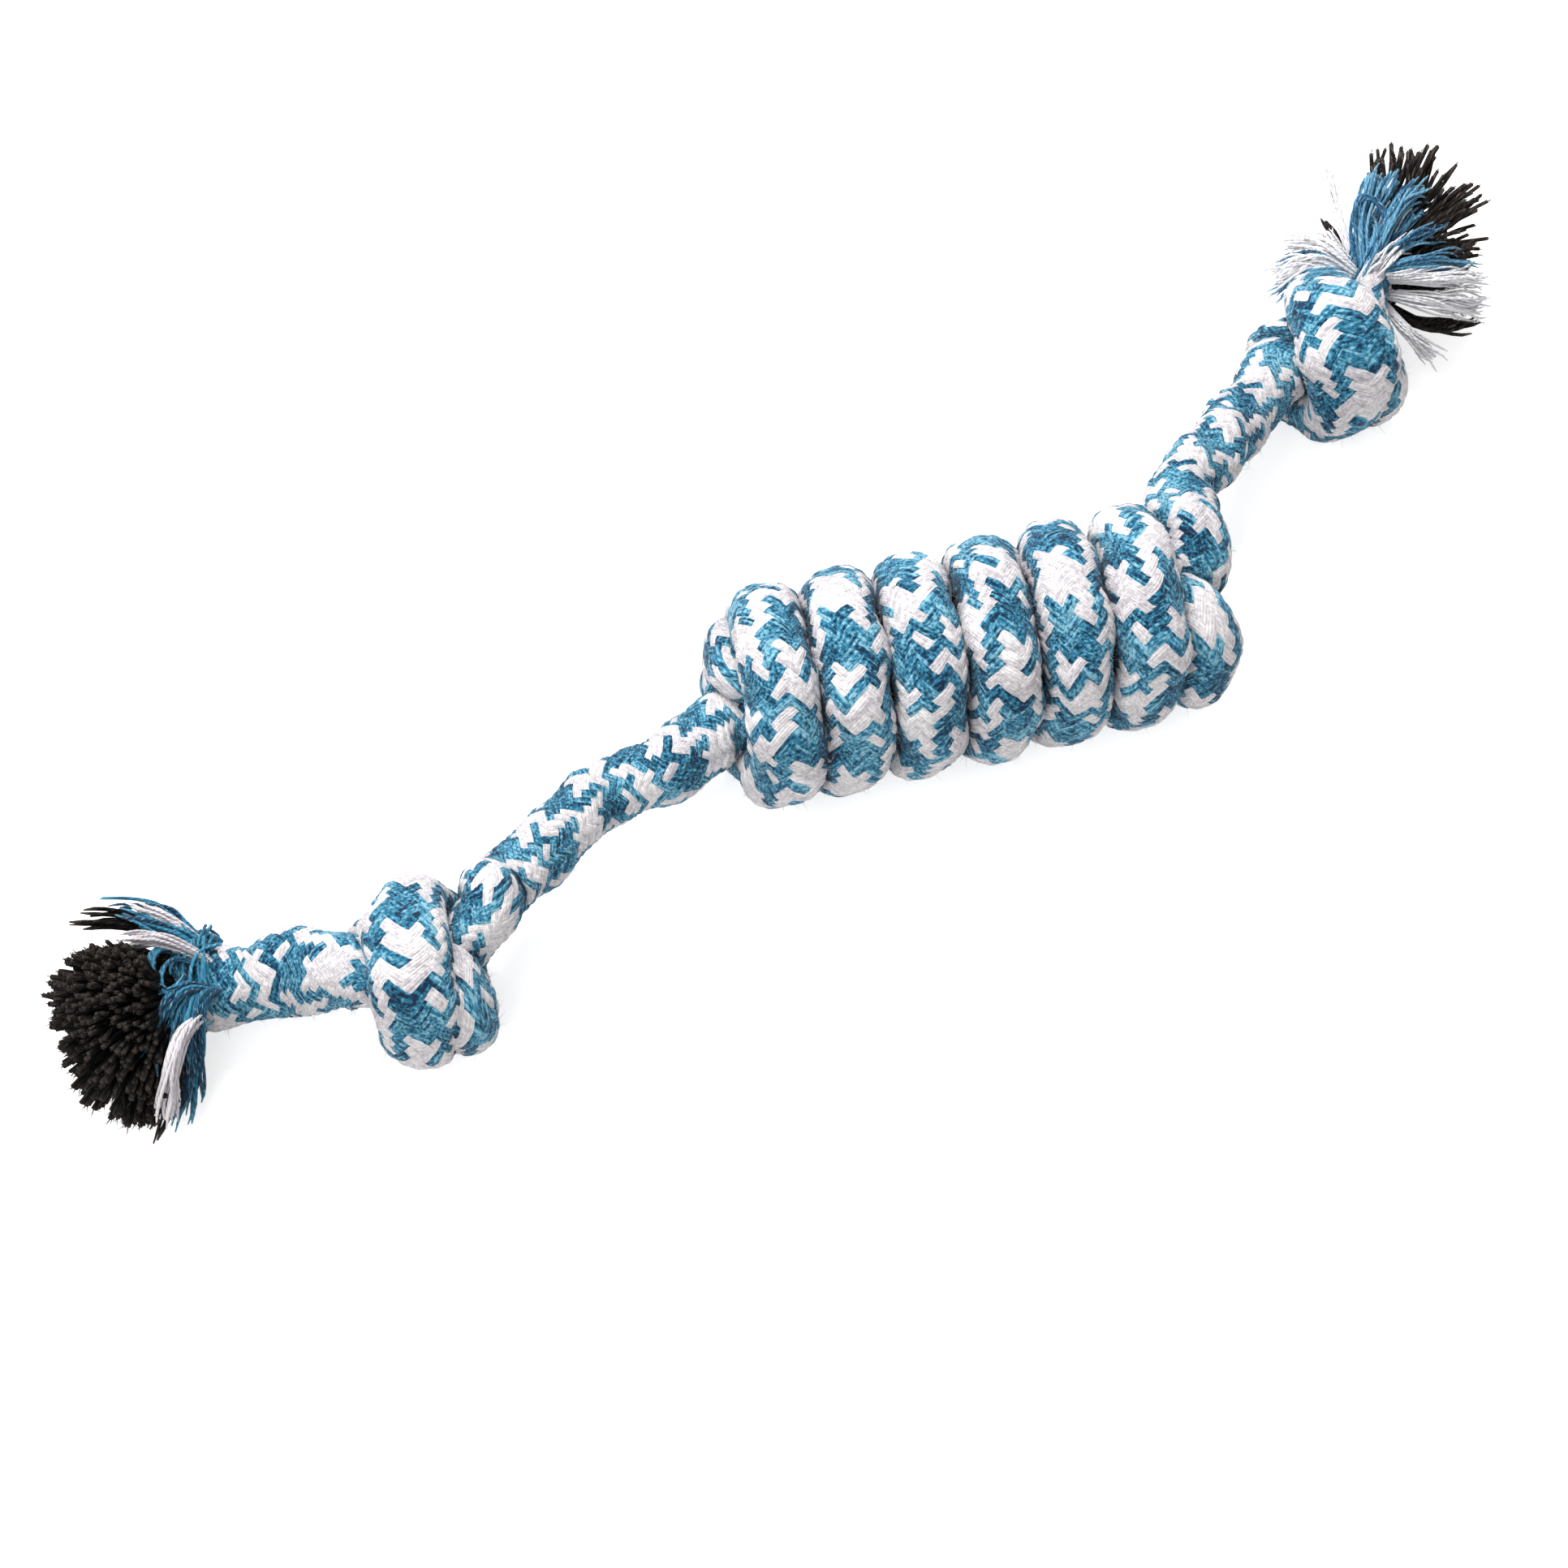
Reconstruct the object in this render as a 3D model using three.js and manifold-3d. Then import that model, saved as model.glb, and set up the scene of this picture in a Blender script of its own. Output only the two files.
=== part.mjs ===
// Rope dog toy: one braided rope, wound into a long barrel knot in the middle, with an
// overhand knot near each end and the freed yarns spreading past the knots.
// Millimetres, +Z up, the toy lying on z = 0, the winding's axis along +X. The origin is on
// the flat underside of the winding's middle turn. +Y points away from the front of the toy.
import * as THREE from 'three';
import { mergeVertices } from 'three/addons/utils/BufferGeometryUtils.js';
import Module from 'manifold-3d';

const wasm = await Module();
wasm.setup();

// Rope
const ropeRadius = 6.6;
const coreRadius = 3.9;
const coverClearance = 0.3;
const restCut = 1.3;

// Bends between neighbouring lengths of rope: a rounded end sits in a hollow one
const ballRadius = 6.8;
const socketRadius = 7.7;

// Middle winding, a multiple overhand knot
const windingTurns = 6;
const windingPitch = 12.9;
const windingRadius = 12.1;
const windingHalfWide = 6.1;
const windingHalfThick = 6.2;

// End knots, the same knot with one turn showing
const knotTurns = 1;
const knotPitch = 12.4;
const knotRadius = 10;
const knotHalfWide = 4.8;
const knotHalfThick = 4.7;
const knotFrontBulge = 3;

// The two runs squeezed flat inside every knot, which sit beside each other at its axis
const windingRunHalfWide = 4;
const windingRunHalfThick = 2.2;
const knotRunHalfWide = 2.7;
const knotRunHalfThick = 2.05;
const runGap = 0.9;
const windingSqueezedEnd = 7;
const knotSqueezedEnd = 5.5;

// Freed yarns past the knots
const leftFanLength = 25.2;
const rightFanLength = 23;
const fanRootRadius = 6.2;
const fanHalfWide = 16.5;
const fanHalfHigh = 12.5;
const fanScallopShare = 0.09;
const lockRadius = 2.5;
const lockClearance = 0.35;

// Facets
const ringSides = 8;
const stepsPerTurn = 24;
const linkSides = 12;
const ballRings = 8;
const fanSides = 24;
const lockSides = 6;
const runLeastSteps = 5;

// Angles round a knot's axis, from +Y towards +Z
const fullTurn = 360;
const underAngle = 270;
const frontAngle = 480;
const runLeadAngle = 120;
const windingAngles = { start: 285, end: 315 };
const knotAngles = { start: 330, end: 270 };

const rad = THREE.MathUtils.degToRad;

const blueCotton = new THREE.MeshStandardMaterial({ color: 0x3f93b8, roughness: 0.92, metalness: 0 });
const whiteCotton = new THREE.MeshStandardMaterial({ color: 0xe6e0e2, roughness: 0.94, metalness: 0 });
const darkCotton = new THREE.MeshStandardMaterial({ color: 0x2a2523, roughness: 0.95, metalness: 0 });
const mixedCotton = new THREE.MeshStandardMaterial({ color: 0x8fb9cb, roughness: 0.93, metalness: 0 });

// Solids: a closed mesh to a manifold and back
function toManifold(geometry) {
  const plain = geometry.clone();
  plain.deleteAttribute('normal');
  plain.deleteAttribute('uv');
  const merged = mergeVertices(plain, 1e-5);
  return new wasm.Manifold(new wasm.Mesh({
    numProp: 3,
    vertProperties: new Float32Array(merged.attributes.position.array),
    triVerts: new Uint32Array(merged.index.array),
  }));
}

function toGeometry(solid) {
  const mesh = solid.getMesh();
  const geometry = new THREE.BufferGeometry();
  geometry.setAttribute('position', new THREE.BufferAttribute(new Float32Array(mesh.vertProperties), 3));
  geometry.setIndex(new THREE.BufferAttribute(new Uint32Array(mesh.triVerts), 1));
  geometry.computeVertexNormals();
  return geometry;
}

// A knot's own place: its axis lies in the horizontal plane, turned by yaw, at axisHeight
function knotFrame({ centre, yaw, axisHeight }) {
  return new THREE.Matrix4().makeRotationZ(rad(yaw)).setPosition(centre[0], centre[1], axisHeight);
}

// A station of rope given round a knot's axis: x along the axis, radius and angle round it,
// and the half width and half thickness of the section there
function roundStation(frame, [x, radius, angle, halfWide, halfThick]) {
  const outward = new THREE.Vector3(0, Math.cos(rad(angle)), Math.sin(rad(angle)));
  const at = outward.clone().multiplyScalar(radius).setX(x).applyMatrix4(frame);
  const out = outward.clone().transformDirection(frame);
  return { at, out, halfWide, halfThick, fine: false, free: false };
}

// A station of round rope at a plain point, keeping its neighbour's outward direction
function plainStation(point, out) {
  const at = new THREE.Vector3(...point);
  return { at, out, halfWide: ropeRadius, halfThick: ropeRadius, fine: false, free: false };
}

// The stations of one knot, from the low run's far end to the high run's far end:
// in along the low run, out at the +X end, round the helix back to the -X end, in again
// and out along the high run. The helix moves towards -X as its angle grows.
function knotStations(frame, knot) {
  const { turns, pitch, radius, halfWide, halfThick, bulge, angles } = knot;
  const { runHalfWide, runHalfThick, squeezedEnd, awayShares } = knot;
  const runOffset = runHalfThick + runGap / 2;
  const middle = underAngle + fullTurn * Math.round(turns / 2);
  const alongAt = (angle) => -pitch * (angle - middle) / fullTurn;
  const lastAngle = angles.end + fullTurn * turns;
  const startX = alongAt(angles.start);
  const endX = alongAt(lastAngle);
  const wideAt = (angle) => {
    const offFront = Math.min(1, Math.abs(angle - frontAngle) / 90);
    return halfWide + bulge * Math.cos(offFront * Math.PI / 2) ** 2;
  };
  const list = [];
  const put = (...values) => list.push(roundStation(frame, values));
  const putLobe = (shares, nearX, turnedBy, fullWide, fullThick) => {
    for (const [alongShare, radiusShare, angle, sizeShare] of shares) {
      put(nearX + alongShare * radius, radiusShare * radius, angle + turnedBy,
        runHalfWide + (fullWide - runHalfWide) * sizeShare,
        runHalfThick + (fullThick - runHalfThick) * sizeShare);
      list.at(-1).free = true;
    }
  };

  const putRun = (fromX, toX, [fromAngle, toAngle]) => {
    const steps = Math.max(runLeastSteps, Math.round((toX - fromX) / (2 * ropeRadius)));
    for (let i = 0; i <= steps; i += 1) {
      const angle = fromAngle + (toAngle - fromAngle) * i / steps;
      put(fromX + (toX - fromX) * i / steps, runOffset, angle, runHalfWide, runHalfThick);
    }
  };
  const runReach = runReachShare * radius;

  // low run, then the lobe where it leaves the +X end
  const lowStart = angles.end + runLeadAngle - fullTurn / 2;
  const lowEnd = angles.start - runLeadAngle;
  putRun(endX - squeezedEnd, startX - runReach, [lowStart, lowEnd]);
  putLobe(lobeOutShares, startX, angles.start, halfWide, halfThick);

  // helix, the turns that show
  const helixSteps = (lastAngle - angles.start) / fullTurn * stepsPerTurn;
  for (let i = 0; i <= helixSteps; i += 1) {
    const angle = angles.start + i * fullTurn / stepsPerTurn;
    const grown = Math.min(1, swellStartShare + swellStepShare * Math.min(i, helixSteps - i));
    put(alongAt(angle), radius, angle, wideAt(angle) * grown, halfThick * grown);
    if (i < helixSteps) list.at(-1).fine = true;
  }

  // lobe at the -X end, then the high run
  putLobe(lobeInShares, endX, lastAngle, halfWide, halfThick);
  const highStart = lastAngle + runLeadAngle;
  putRun(endX + runReach, startX - runReach, [highStart, highStart + lowEnd - lowStart]);
  putLobe(awayShares, startX, 0, ropeRadius, ropeRadius);
  return list;
}

// Stations through a smooth curve, with one more ring between the coarse ones
function refine(stations) {
  const curve = new THREE.CatmullRomCurve3(stations.map((s) => s.at), false, 'centripetal');
  const last = stations.length - 1;
  const rings = [];
  stations.forEach((station, i) => {
    rings.push(station);
    if (station.fine || i === last) return;
    const next = stations[i + 1];
    rings.push({
      at: curve.getPoint((i + 1 / 2) / last),
      out: station.out.clone().add(next.out).normalize(),
      halfWide: (station.halfWide + next.halfWide) / 2,
      halfThick: (station.halfThick + next.halfThick) / 2,
      free: station.free || next.free,
    });
  });
  return rings;
}

// Outward directions square to the route. Free rings carry their neighbour's direction
// along without twist, and what is left over at the end of a free stretch is spread over it.
function squareUp(rings) {
  const alongs = rings.map((ring, i) => {
    const before = rings[Math.max(0, i - 1)].at;
    const after = rings[Math.min(rings.length - 1, i + 1)].at;
    return after.clone().sub(before).normalize();
  });
  const level = (out, along) => out.clone().addScaledVector(along, -out.dot(along)).normalize();
  const outs = rings.map((ring, i) => level(ring.out, alongs[i]));
  for (let i = 1; i < rings.length; i += 1) {
    if (!rings[i].free || rings[i - 1].free) continue;
    let end = i;
    while (end < rings.length && rings[end].free) end += 1;
    for (let k = i; k < end; k += 1) outs[k] = level(outs[k - 1], alongs[k]);
    if (end === rings.length) break;
    const carried = level(outs[end - 1], alongs[end]);
    const sign = Math.sign(carried.clone().cross(outs[end]).dot(alongs[end])) || 1;
    const left = sign * carried.angleTo(outs[end]);
    for (let k = i; k < end; k += 1) {
      outs[k].applyAxisAngle(alongs[k], left * (k - i + 1) / (end - i + 1));
    }
  }
  return { alongs, outs };
}

// Points of every ring of a rope: an ellipse square to the route
function ringPoints(rings, sides = ringSides) {
  const { alongs, outs } = squareUp(rings);
  return rings.map((ring, i) => {
    const across = alongs[i].clone().cross(outs[i]);
    return Array.from({ length: sides }, (_, k) => {
      const turn = rad(fullTurn * k / sides);
      return ring.at.clone()
        .addScaledVector(across, ring.halfWide * Math.cos(turn))
        .addScaledVector(outs[i], ring.halfThick * Math.sin(turn));
    });
  });
}

// Closed skin over rows of points, with a fan of triangles on each end
function skinOf(rows) {
  const sides = rows[0].length;
  const centreOf = (row) => row.reduce((sum, p) => sum.add(p), new THREE.Vector3()).divideScalar(sides);
  const points = [...rows.flat(), centreOf(rows[0]), centreOf(rows.at(-1))];
  const startCentre = rows.length * sides;
  const index = [];
  for (let i = 0; i < rows.length - 1; i += 1) {
    for (let k = 0; k < sides; k += 1) {
      const a = i * sides + k;
      const b = i * sides + (k + 1) % sides;
      index.push(a, a + sides, b, b, a + sides, b + sides);
    }
  }
  const top = (rows.length - 1) * sides;
  for (let k = 0; k < sides; k += 1) {
    const next = (k + 1) % sides;
    index.push(startCentre, k, next, startCentre + 1, top + next, top + k);
  }
  const geometry = new THREE.BufferGeometry().setFromPoints(points);
  geometry.setIndex(index);
  return geometry;
}

// Least distance between points of rings that lie far apart along the rope
function leastSelfGap(rings, rows) {
  const travelled = [0];
  for (let i = 1; i < rings.length; i += 1) {
    travelled.push(travelled[i - 1] + rings[i].at.distanceTo(rings[i - 1].at));
  }
  let least = Infinity;
  for (let i = 0; i < rows.length; i += 1) {
    for (let j = i + 1; j < rows.length; j += 1) {
      if (travelled[j] - travelled[i] < 4 * ropeRadius) continue;
      for (const p of rows[i]) for (const q of rows[j]) least = Math.min(least, p.distanceTo(q));
    }
  }
  return least;
}

// One knot as an unbroken tube, its underside cut flat where it rests
function knotSolid(name, stations) {
  const rings = refine(stations);
  const rows = ringPoints(rings);
  console.log(`${name}: least gap to itself ${leastSelfGap(rings, rows).toFixed(2)} mm`);
  return cutAtRest(toManifold(skinOf(rows)));
}

function cutAtRest(solid) {
  const box = new THREE.Box3();
  const { min, max } = solid.boundingBox();
  box.set(new THREE.Vector3(...min), new THREE.Vector3(...max)).expandByScalar(ropeRadius);
  const size = box.getSize(new THREE.Vector3());
  const centre = box.getCenter(new THREE.Vector3());
  const above = new THREE.BoxGeometry(size.x, size.y, box.max.z).translate(centre.x, centre.y, box.max.z / 2);
  return solid.intersect(toManifold(above));
}

// Lobes at a knot's ends, as shares of the knot's radius (along the axis, out from it) and
// of the growth from squeezed to full section. Angles are degrees round the axis, counted
// from the end of the helix beside the lobe, or from +Y where the high run goes away.
const lobeOutShares = [
  [-0.11, 0.235, -106, 0.05], [0.04, 0.312, -77, 0.1], [0.1, 0.485, -58, 0.2], [0.09, 0.757, -38, 0.4],
  [0.05, 0.94, -18, 0.55],
];
const lobeInShares = [
  [-0.05, 0.94, 18, 0.55], [-0.09, 0.757, 38, 0.4], [-0.1, 0.485, 58, 0.2], [-0.04, 0.312, 77, 0.1],
  [0.11, 0.235, 106, 0.05],
];
const windingAwayShares = [
  [0.2, 0.22, -12, 0.05], [0.6, 0.3, 5, 0.2], [0.88, 0.62, 20, 0.45], [1.05, 1.05, 20, 0.75],
];
const knotAwayShares = [
  [0.2, 0.25, 30, 0.05], [0.55, 0.34, 30, 0.2], [0.77, 0.65, 28, 0.4], [0.82, 1.05, 22, 0.7],
];
const runReachShare = 0.32;
const swellStartShare = 0.79;
const swellStepShare = 0.07;

// Places
const windingAxisHeight = windingRadius + windingHalfThick - restCut;
const knotAxisHeight = knotRadius + knotHalfThick - restCut;
const windingPlace = { centre: [0, 0], yaw: 0, axisHeight: windingAxisHeight };
const leftKnotPlace = { centre: [-104.8, -32.8], yaw: -14.7, axisHeight: knotAxisHeight };
const rightKnotPlace = { centre: [81.1, 47.6], yaw: 0, axisHeight: knotAxisHeight };

// Bend points along the rope, from the left tuft to the right tuft
const leftTuftBend = [-135.5, -25, 8.2];
const leftTailBend = [-123.5, -28.4, 10];
const leftKnotBend = [-79.3, -19.3, 14];
const leftSpanBend = [-70.5, -13.8, 13];
const leftWindingBend = [-61.5, -9.2, 13];
const rightWindingBend = [54, 24, 17.5];
const rightSpanBend = [60.3, 30.5, 14.7];
const rightKnotBend = [66.3, 36.4, 12.3];
const rightTuftBend = [101.6, 62.5, 17];

const windingSize = {
  turns: windingTurns,
  angles: windingAngles,
  pitch: windingPitch,
  radius: windingRadius,
  halfWide: windingHalfWide,
  halfThick: windingHalfThick,
  bulge: 0,
  runHalfWide: windingRunHalfWide,
  runHalfThick: windingRunHalfThick,
  squeezedEnd: windingSqueezedEnd,
  awayShares: windingAwayShares,
};
const knotSize = {
  turns: knotTurns,
  angles: knotAngles,
  pitch: knotPitch,
  radius: knotRadius,
  halfWide: knotHalfWide,
  halfThick: knotHalfThick,
  bulge: knotFrontBulge,
  runHalfWide: knotRunHalfWide,
  runHalfThick: knotRunHalfThick,
  squeezedEnd: knotSqueezedEnd,
  awayShares: knotAwayShares,
};

// A whole knot with its two ends: lowEnd lies beyond the low run, highEnd beyond the high
// run, each a list of points that ends at the bend it meets
function tiedKnot(name, place, size, lowEnd, highEnd) {
  const frame = knotFrame(place);
  const body = knotStations(frame, size);
  const low = lowEnd.map((p) => plainStation(p, body[0].out));
  const high = highEnd.map((p) => plainStation(p, body.at(-1).out));
  return knotSolid(name, [...low, ...body, ...high]);
}

const asVector = (p) => new THREE.Vector3(...p);

// A ball at a bend, its facets in line with the rope that carries it
function ballAt(point, along, radius) {
  const ball = new THREE.SphereGeometry(radius, linkSides, ballRings);
  const turn = new THREE.Quaternion().setFromUnitVectors(new THREE.Vector3(0, 1, 0), along);
  return toManifold(ball.applyQuaternion(turn).translate(...point));
}

// A straight round bar from one point to another
function barBetween(start, end, radius) {
  const from = asVector(start);
  const along = asVector(end).sub(from);
  const bar = new THREE.CylinderGeometry(radius, radius, along.length(), linkSides);
  const turn = new THREE.Quaternion().setFromUnitVectors(new THREE.Vector3(0, 1, 0), along.clone().normalize());
  return toManifold(bar.applyQuaternion(turn).translate(...from.addScaledVector(along, 1 / 2).toArray()));
}

const directionOf = (start, end) => asVector(end).sub(asVector(start)).normalize();

// One straight length of rope between two bends: hollowed at its first end round the
// neighbour's ball, a ball at its other end, split into the cover and the core in it
function ropeLength(start, end) {
  const along = directionOf(start, end);
  const beyond = asVector(end).addScaledVector(along, ropeRadius * 2).toArray();
  const whole = barBetween(start, end, ropeRadius)
    .add(ballAt(end, along, ballRadius))
    .subtract(ballAt(start, along, socketRadius));
  const cover = whole.subtract(barBetween(start, beyond, coreRadius + coverClearance));
  const core = whole.intersect(barBetween(start, beyond, coreRadius));
  return { cover, core };
}

const group = new THREE.Group();

function addNode(name, solid, material) {
  const mesh = new THREE.Mesh(toGeometry(solid), material);
  mesh.name = name;
  group.add(mesh);
}

// Middle winding
const windingLowEnd = [leftWindingBend, [-57, -7, 13.7], [-52.6, -4.8, 14.7]];
const windingHighEnd = [[52.6, 18.4, 19.3], rightWindingBend];
const windingSolid = tiedKnot('winding', windingPlace, windingSize, windingLowEnd, windingHighEnd);
addNode('winding', windingSolid
  .add(ballAt(leftWindingBend, directionOf(windingLowEnd[1], leftWindingBend), ballRadius))
  .add(ballAt(rightWindingBend, directionOf(windingHighEnd[0], rightWindingBend), ballRadius)), mixedCotton);

// Knots near the ends: hollowed where they meet the span, a ball where the rope goes on
function endKnot(name, place, lowEnd, highEnd, hollowedAt) {
  const tied = tiedKnot(name, place, knotSize, lowEnd, highEnd);
  const spanEnd = hollowedAt === 'low' ? lowEnd : highEnd.toReversed();
  const freeEnd = hollowedAt === 'low' ? highEnd.toReversed() : lowEnd;
  const hollow = ballAt(spanEnd[0], directionOf(spanEnd[0], spanEnd[1]), socketRadius);
  const ball = ballAt(freeEnd[0], directionOf(freeEnd[1], freeEnd[0]), ballRadius);
  addNode(name, tied.subtract(hollow).add(ball), mixedCotton);
}
const leftKnotLowEnd = [leftTailBend, [-117.5, -31, 11.2]];
const leftKnotHighEnd = [[-82.2, -23.3, 16.2], leftKnotBend];
const rightKnotLowEnd = [rightKnotBend, [70, 40.6, 12.1]];
const rightKnotHighEnd = [[100.7, 60.3, 17.2], rightTuftBend];
endKnot('left_knot', leftKnotPlace, leftKnotLowEnd, leftKnotHighEnd, 'high');
endKnot('right_knot', rightKnotPlace, rightKnotLowEnd, rightKnotHighEnd, 'low');

// Free lengths of rope, each bending at both its ends
const freeLengths = {
  left_span_1: [leftWindingBend, leftSpanBend],
  left_span_2: [leftSpanBend, leftKnotBend],
  left_tail: [leftTailBend, leftTuftBend],
  right_span_1: [rightWindingBend, rightSpanBend],
  right_span_2: [rightSpanBend, rightKnotBend],
};
for (const [name, [start, end]] of Object.entries(freeLengths)) {
  const { cover, core } = ropeLength(start, end);
  addNode(`${name}_cover`, cover, mixedCotton);
  addNode(`${name}_core`, core, darkCotton);
}

// The way a fan points: its heading in plan, from +X towards +Y, and its climb
function fanDirection(heading, climb) {
  const level = Math.cos(rad(climb));
  return new THREE.Vector3(
    level * Math.cos(rad(heading)),
    level * Math.sin(rad(heading)),
    Math.sin(rad(climb)),
  );
}

// Points by a fan: a share of its length, an angle round it (0 level, 90 on top) and a share
// of the half width it has there
const fanRowShares = [0.1, 0.3, 0.52, 0.74, 0.9, 0.98, 1];
const fanFlareShares = [0, 0.16, 0.45, 0.78, 0.97, 0.9, 0.62];
function fanPlace(bend, { length, heading, climb }) {
  const along = fanDirection(heading, climb);
  const sideways = along.clone().cross(new THREE.Vector3(0, 0, 1)).normalize();
  const upward = sideways.clone().cross(along);
  const flareAt = (share) => {
    const next = Math.max(1, fanRowShares.findIndex((row) => row >= share));
    const part = (share - fanRowShares[next - 1]) / (fanRowShares[next] - fanRowShares[next - 1]);
    return fanFlareShares[next - 1] + (fanFlareShares[next] - fanFlareShares[next - 1]) * part;
  };
  return (share, angle, outShare) => {
    const flare = flareAt(share);
    const wide = fanRootRadius + (fanHalfWide - fanRootRadius) * flare;
    const high = fanRootRadius + (fanHalfHigh - fanRootRadius) * flare;
    return asVector(bend)
      .addScaledVector(along, length * share)
      .addScaledVector(sideways, wide * outShare * Math.cos(rad(angle)))
      .addScaledVector(upward, high * outShare * Math.sin(rad(angle)));
  };
}

// Freed core yarns: a flaring fan with a scalloped rim, hollowed round the bend it turns on
// and grooved where the locks spring from it
function fanSolid(bend, fan, lockShares) {
  const pointAt = fanPlace(bend, fan);
  const rows = fanRowShares.map((share) => Array.from({ length: fanSides }, (_, k) => {
    const scallop = 1 - fanScallopShare * share * (k % 2);
    return pointAt(share, fullTurn * k / fanSides, scallop);
  }));
  let solid = toManifold(skinOf(rows)).subtract(ballAt(bend, fanDirection(fan.heading, fan.climb), socketRadius));
  for (const shares of lockShares) solid = solid.subtract(lockSolid(pointAt, shares, lockClearance));
  return solid;
}

// Freed cover yarns: a lock that swells from its root and narrows to its tip
const lockSwellShares = [0.85, 1, 1.08, 0.95, 0.6];
function lockSolid(pointAt, shares, spare) {
  const curve = new THREE.CatmullRomCurve3(shares.map((row) => pointAt(...row)), false, 'centripetal');
  const rings = lockSwellShares.map((share, i) => {
    const size = lockRadius * share + spare;
    const at = curve.getPoint(i / (lockSwellShares.length - 1));
    return { at, out: new THREE.Vector3(0, 0, 1), halfWide: size, halfThick: size, free: false };
  });
  rings[0].at.addScaledVector(curve.getTangent(0), -spare);
  rings.at(-1).at.addScaledVector(curve.getTangent(1), spare);
  return toManifold(skinOf(ringPoints(rings, lockSides)));
}

const leftFan = { length: leftFanLength, heading: 196.2, climb: 11 };
const rightFan = { length: rightFanLength, heading: 38.4, climb: -8.5 };
const leftLockShares = {
  left_blue_lock_up: [[0.42, 22, 0.8], [0.4, 18, 1.5], [0.33, 15, 2.35]],
  left_white_lock_up: [[0.36, -30, 0.8], [0.28, -20, 1.6], [0.17, -8, 3.1]],
  left_blue_lock_down: [[0.42, 190, 0.8], [0.41, 188, 1.3], [0.38, 187, 1.85]],
  left_white_lock_down: [[0.6, 205, 0.85], [0.62, 203, 1.1], [0.6, 200, 1.5]],
};
const rightLockShares = {
  right_blue_lock_up: [[0.36, 112, 0.85], [0.5, 114, 1.12], [0.68, 116, 1.2]],
  right_blue_lock_right: [[0.42, 20, 0.8], [0.4, 14, 1.4], [0.34, 10, 2.1]],
  right_white_lock_right: [[0.36, -20, 0.8], [0.3, -20, 1.5], [0.2, -20, 2.5]],
  right_white_lock_left: [[0.45, 188, 0.85], [0.62, 192, 1.12], [0.82, 194, 1.32]],
};
function addTuft(name, bend, fan, lockShares) {
  addNode(name, fanSolid(bend, fan, Object.values(lockShares)), darkCotton);
  for (const [lockName, shares] of Object.entries(lockShares)) {
    const material = lockName.includes('blue') ? blueCotton : whiteCotton;
    addNode(lockName, lockSolid(fanPlace(bend, fan), shares, 0), material);
  }
}
addTuft('left_core_fan', leftTuftBend, leftFan, leftLockShares);
addTuft('right_core_fan', rightTuftBend, rightFan, rightLockShares);

export default group;
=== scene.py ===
# Rope dog toy: one braided cotton rope, wound into a barrel in the middle and knotted near both ends.
# Metres, +Z up, the toy lying on z = 0 with the barrel's axis along +X. Front is -Y.
import math
from functools import partialmethod
import bpy
import numpy as np
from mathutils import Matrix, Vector


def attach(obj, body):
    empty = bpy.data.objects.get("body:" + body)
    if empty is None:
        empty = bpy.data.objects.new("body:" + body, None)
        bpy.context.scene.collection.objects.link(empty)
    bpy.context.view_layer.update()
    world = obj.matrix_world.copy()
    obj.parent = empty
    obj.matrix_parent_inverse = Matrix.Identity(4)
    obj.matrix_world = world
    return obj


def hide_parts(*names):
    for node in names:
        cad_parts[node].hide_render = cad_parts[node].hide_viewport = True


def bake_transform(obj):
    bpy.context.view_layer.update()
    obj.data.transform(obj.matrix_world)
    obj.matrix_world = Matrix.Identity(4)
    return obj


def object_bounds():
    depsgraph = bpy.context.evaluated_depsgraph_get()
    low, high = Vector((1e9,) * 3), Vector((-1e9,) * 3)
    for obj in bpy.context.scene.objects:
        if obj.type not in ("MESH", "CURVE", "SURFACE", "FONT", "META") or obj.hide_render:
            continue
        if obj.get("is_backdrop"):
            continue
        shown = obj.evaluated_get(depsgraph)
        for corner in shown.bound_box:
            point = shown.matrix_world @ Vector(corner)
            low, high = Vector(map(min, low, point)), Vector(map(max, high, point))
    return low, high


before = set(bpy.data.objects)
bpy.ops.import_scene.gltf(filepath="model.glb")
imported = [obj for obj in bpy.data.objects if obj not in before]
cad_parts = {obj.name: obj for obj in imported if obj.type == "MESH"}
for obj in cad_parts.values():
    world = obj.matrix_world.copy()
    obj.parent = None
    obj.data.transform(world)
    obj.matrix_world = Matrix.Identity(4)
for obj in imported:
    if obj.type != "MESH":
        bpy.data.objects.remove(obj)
cadBox = [list(corner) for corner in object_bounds()]
mm = 0.001

# Camera, where the picture was taken from
picture = {"place": (-0.1034, -0.2775, 0.4845), "aim": (-0.0348, -0.0153, 0.015), "lens": 73.7, "sensor": 36}


# A camera or lamp at one place, turned towards another.
def aimed(name, data, place, target):
    thing = bpy.data.objects.new(name, data)
    thing.location = place
    thing.rotation_mode = "QUATERNION"
    thing.rotation_quaternion = (Vector(target) - Vector(place)).to_track_quat("-Z", "Y")
    bpy.context.collection.objects.link(thing)
    return thing


def addCamera(settings):
    data = bpy.data.cameras.new("pictureCamera")
    data.lens = settings["lens"]
    data.sensor_width = settings["sensor"]
    bpy.context.scene.camera = aimed("pictureCamera", data, settings["place"], settings["aim"])


addCamera(picture)
print("camera placed")

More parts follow.
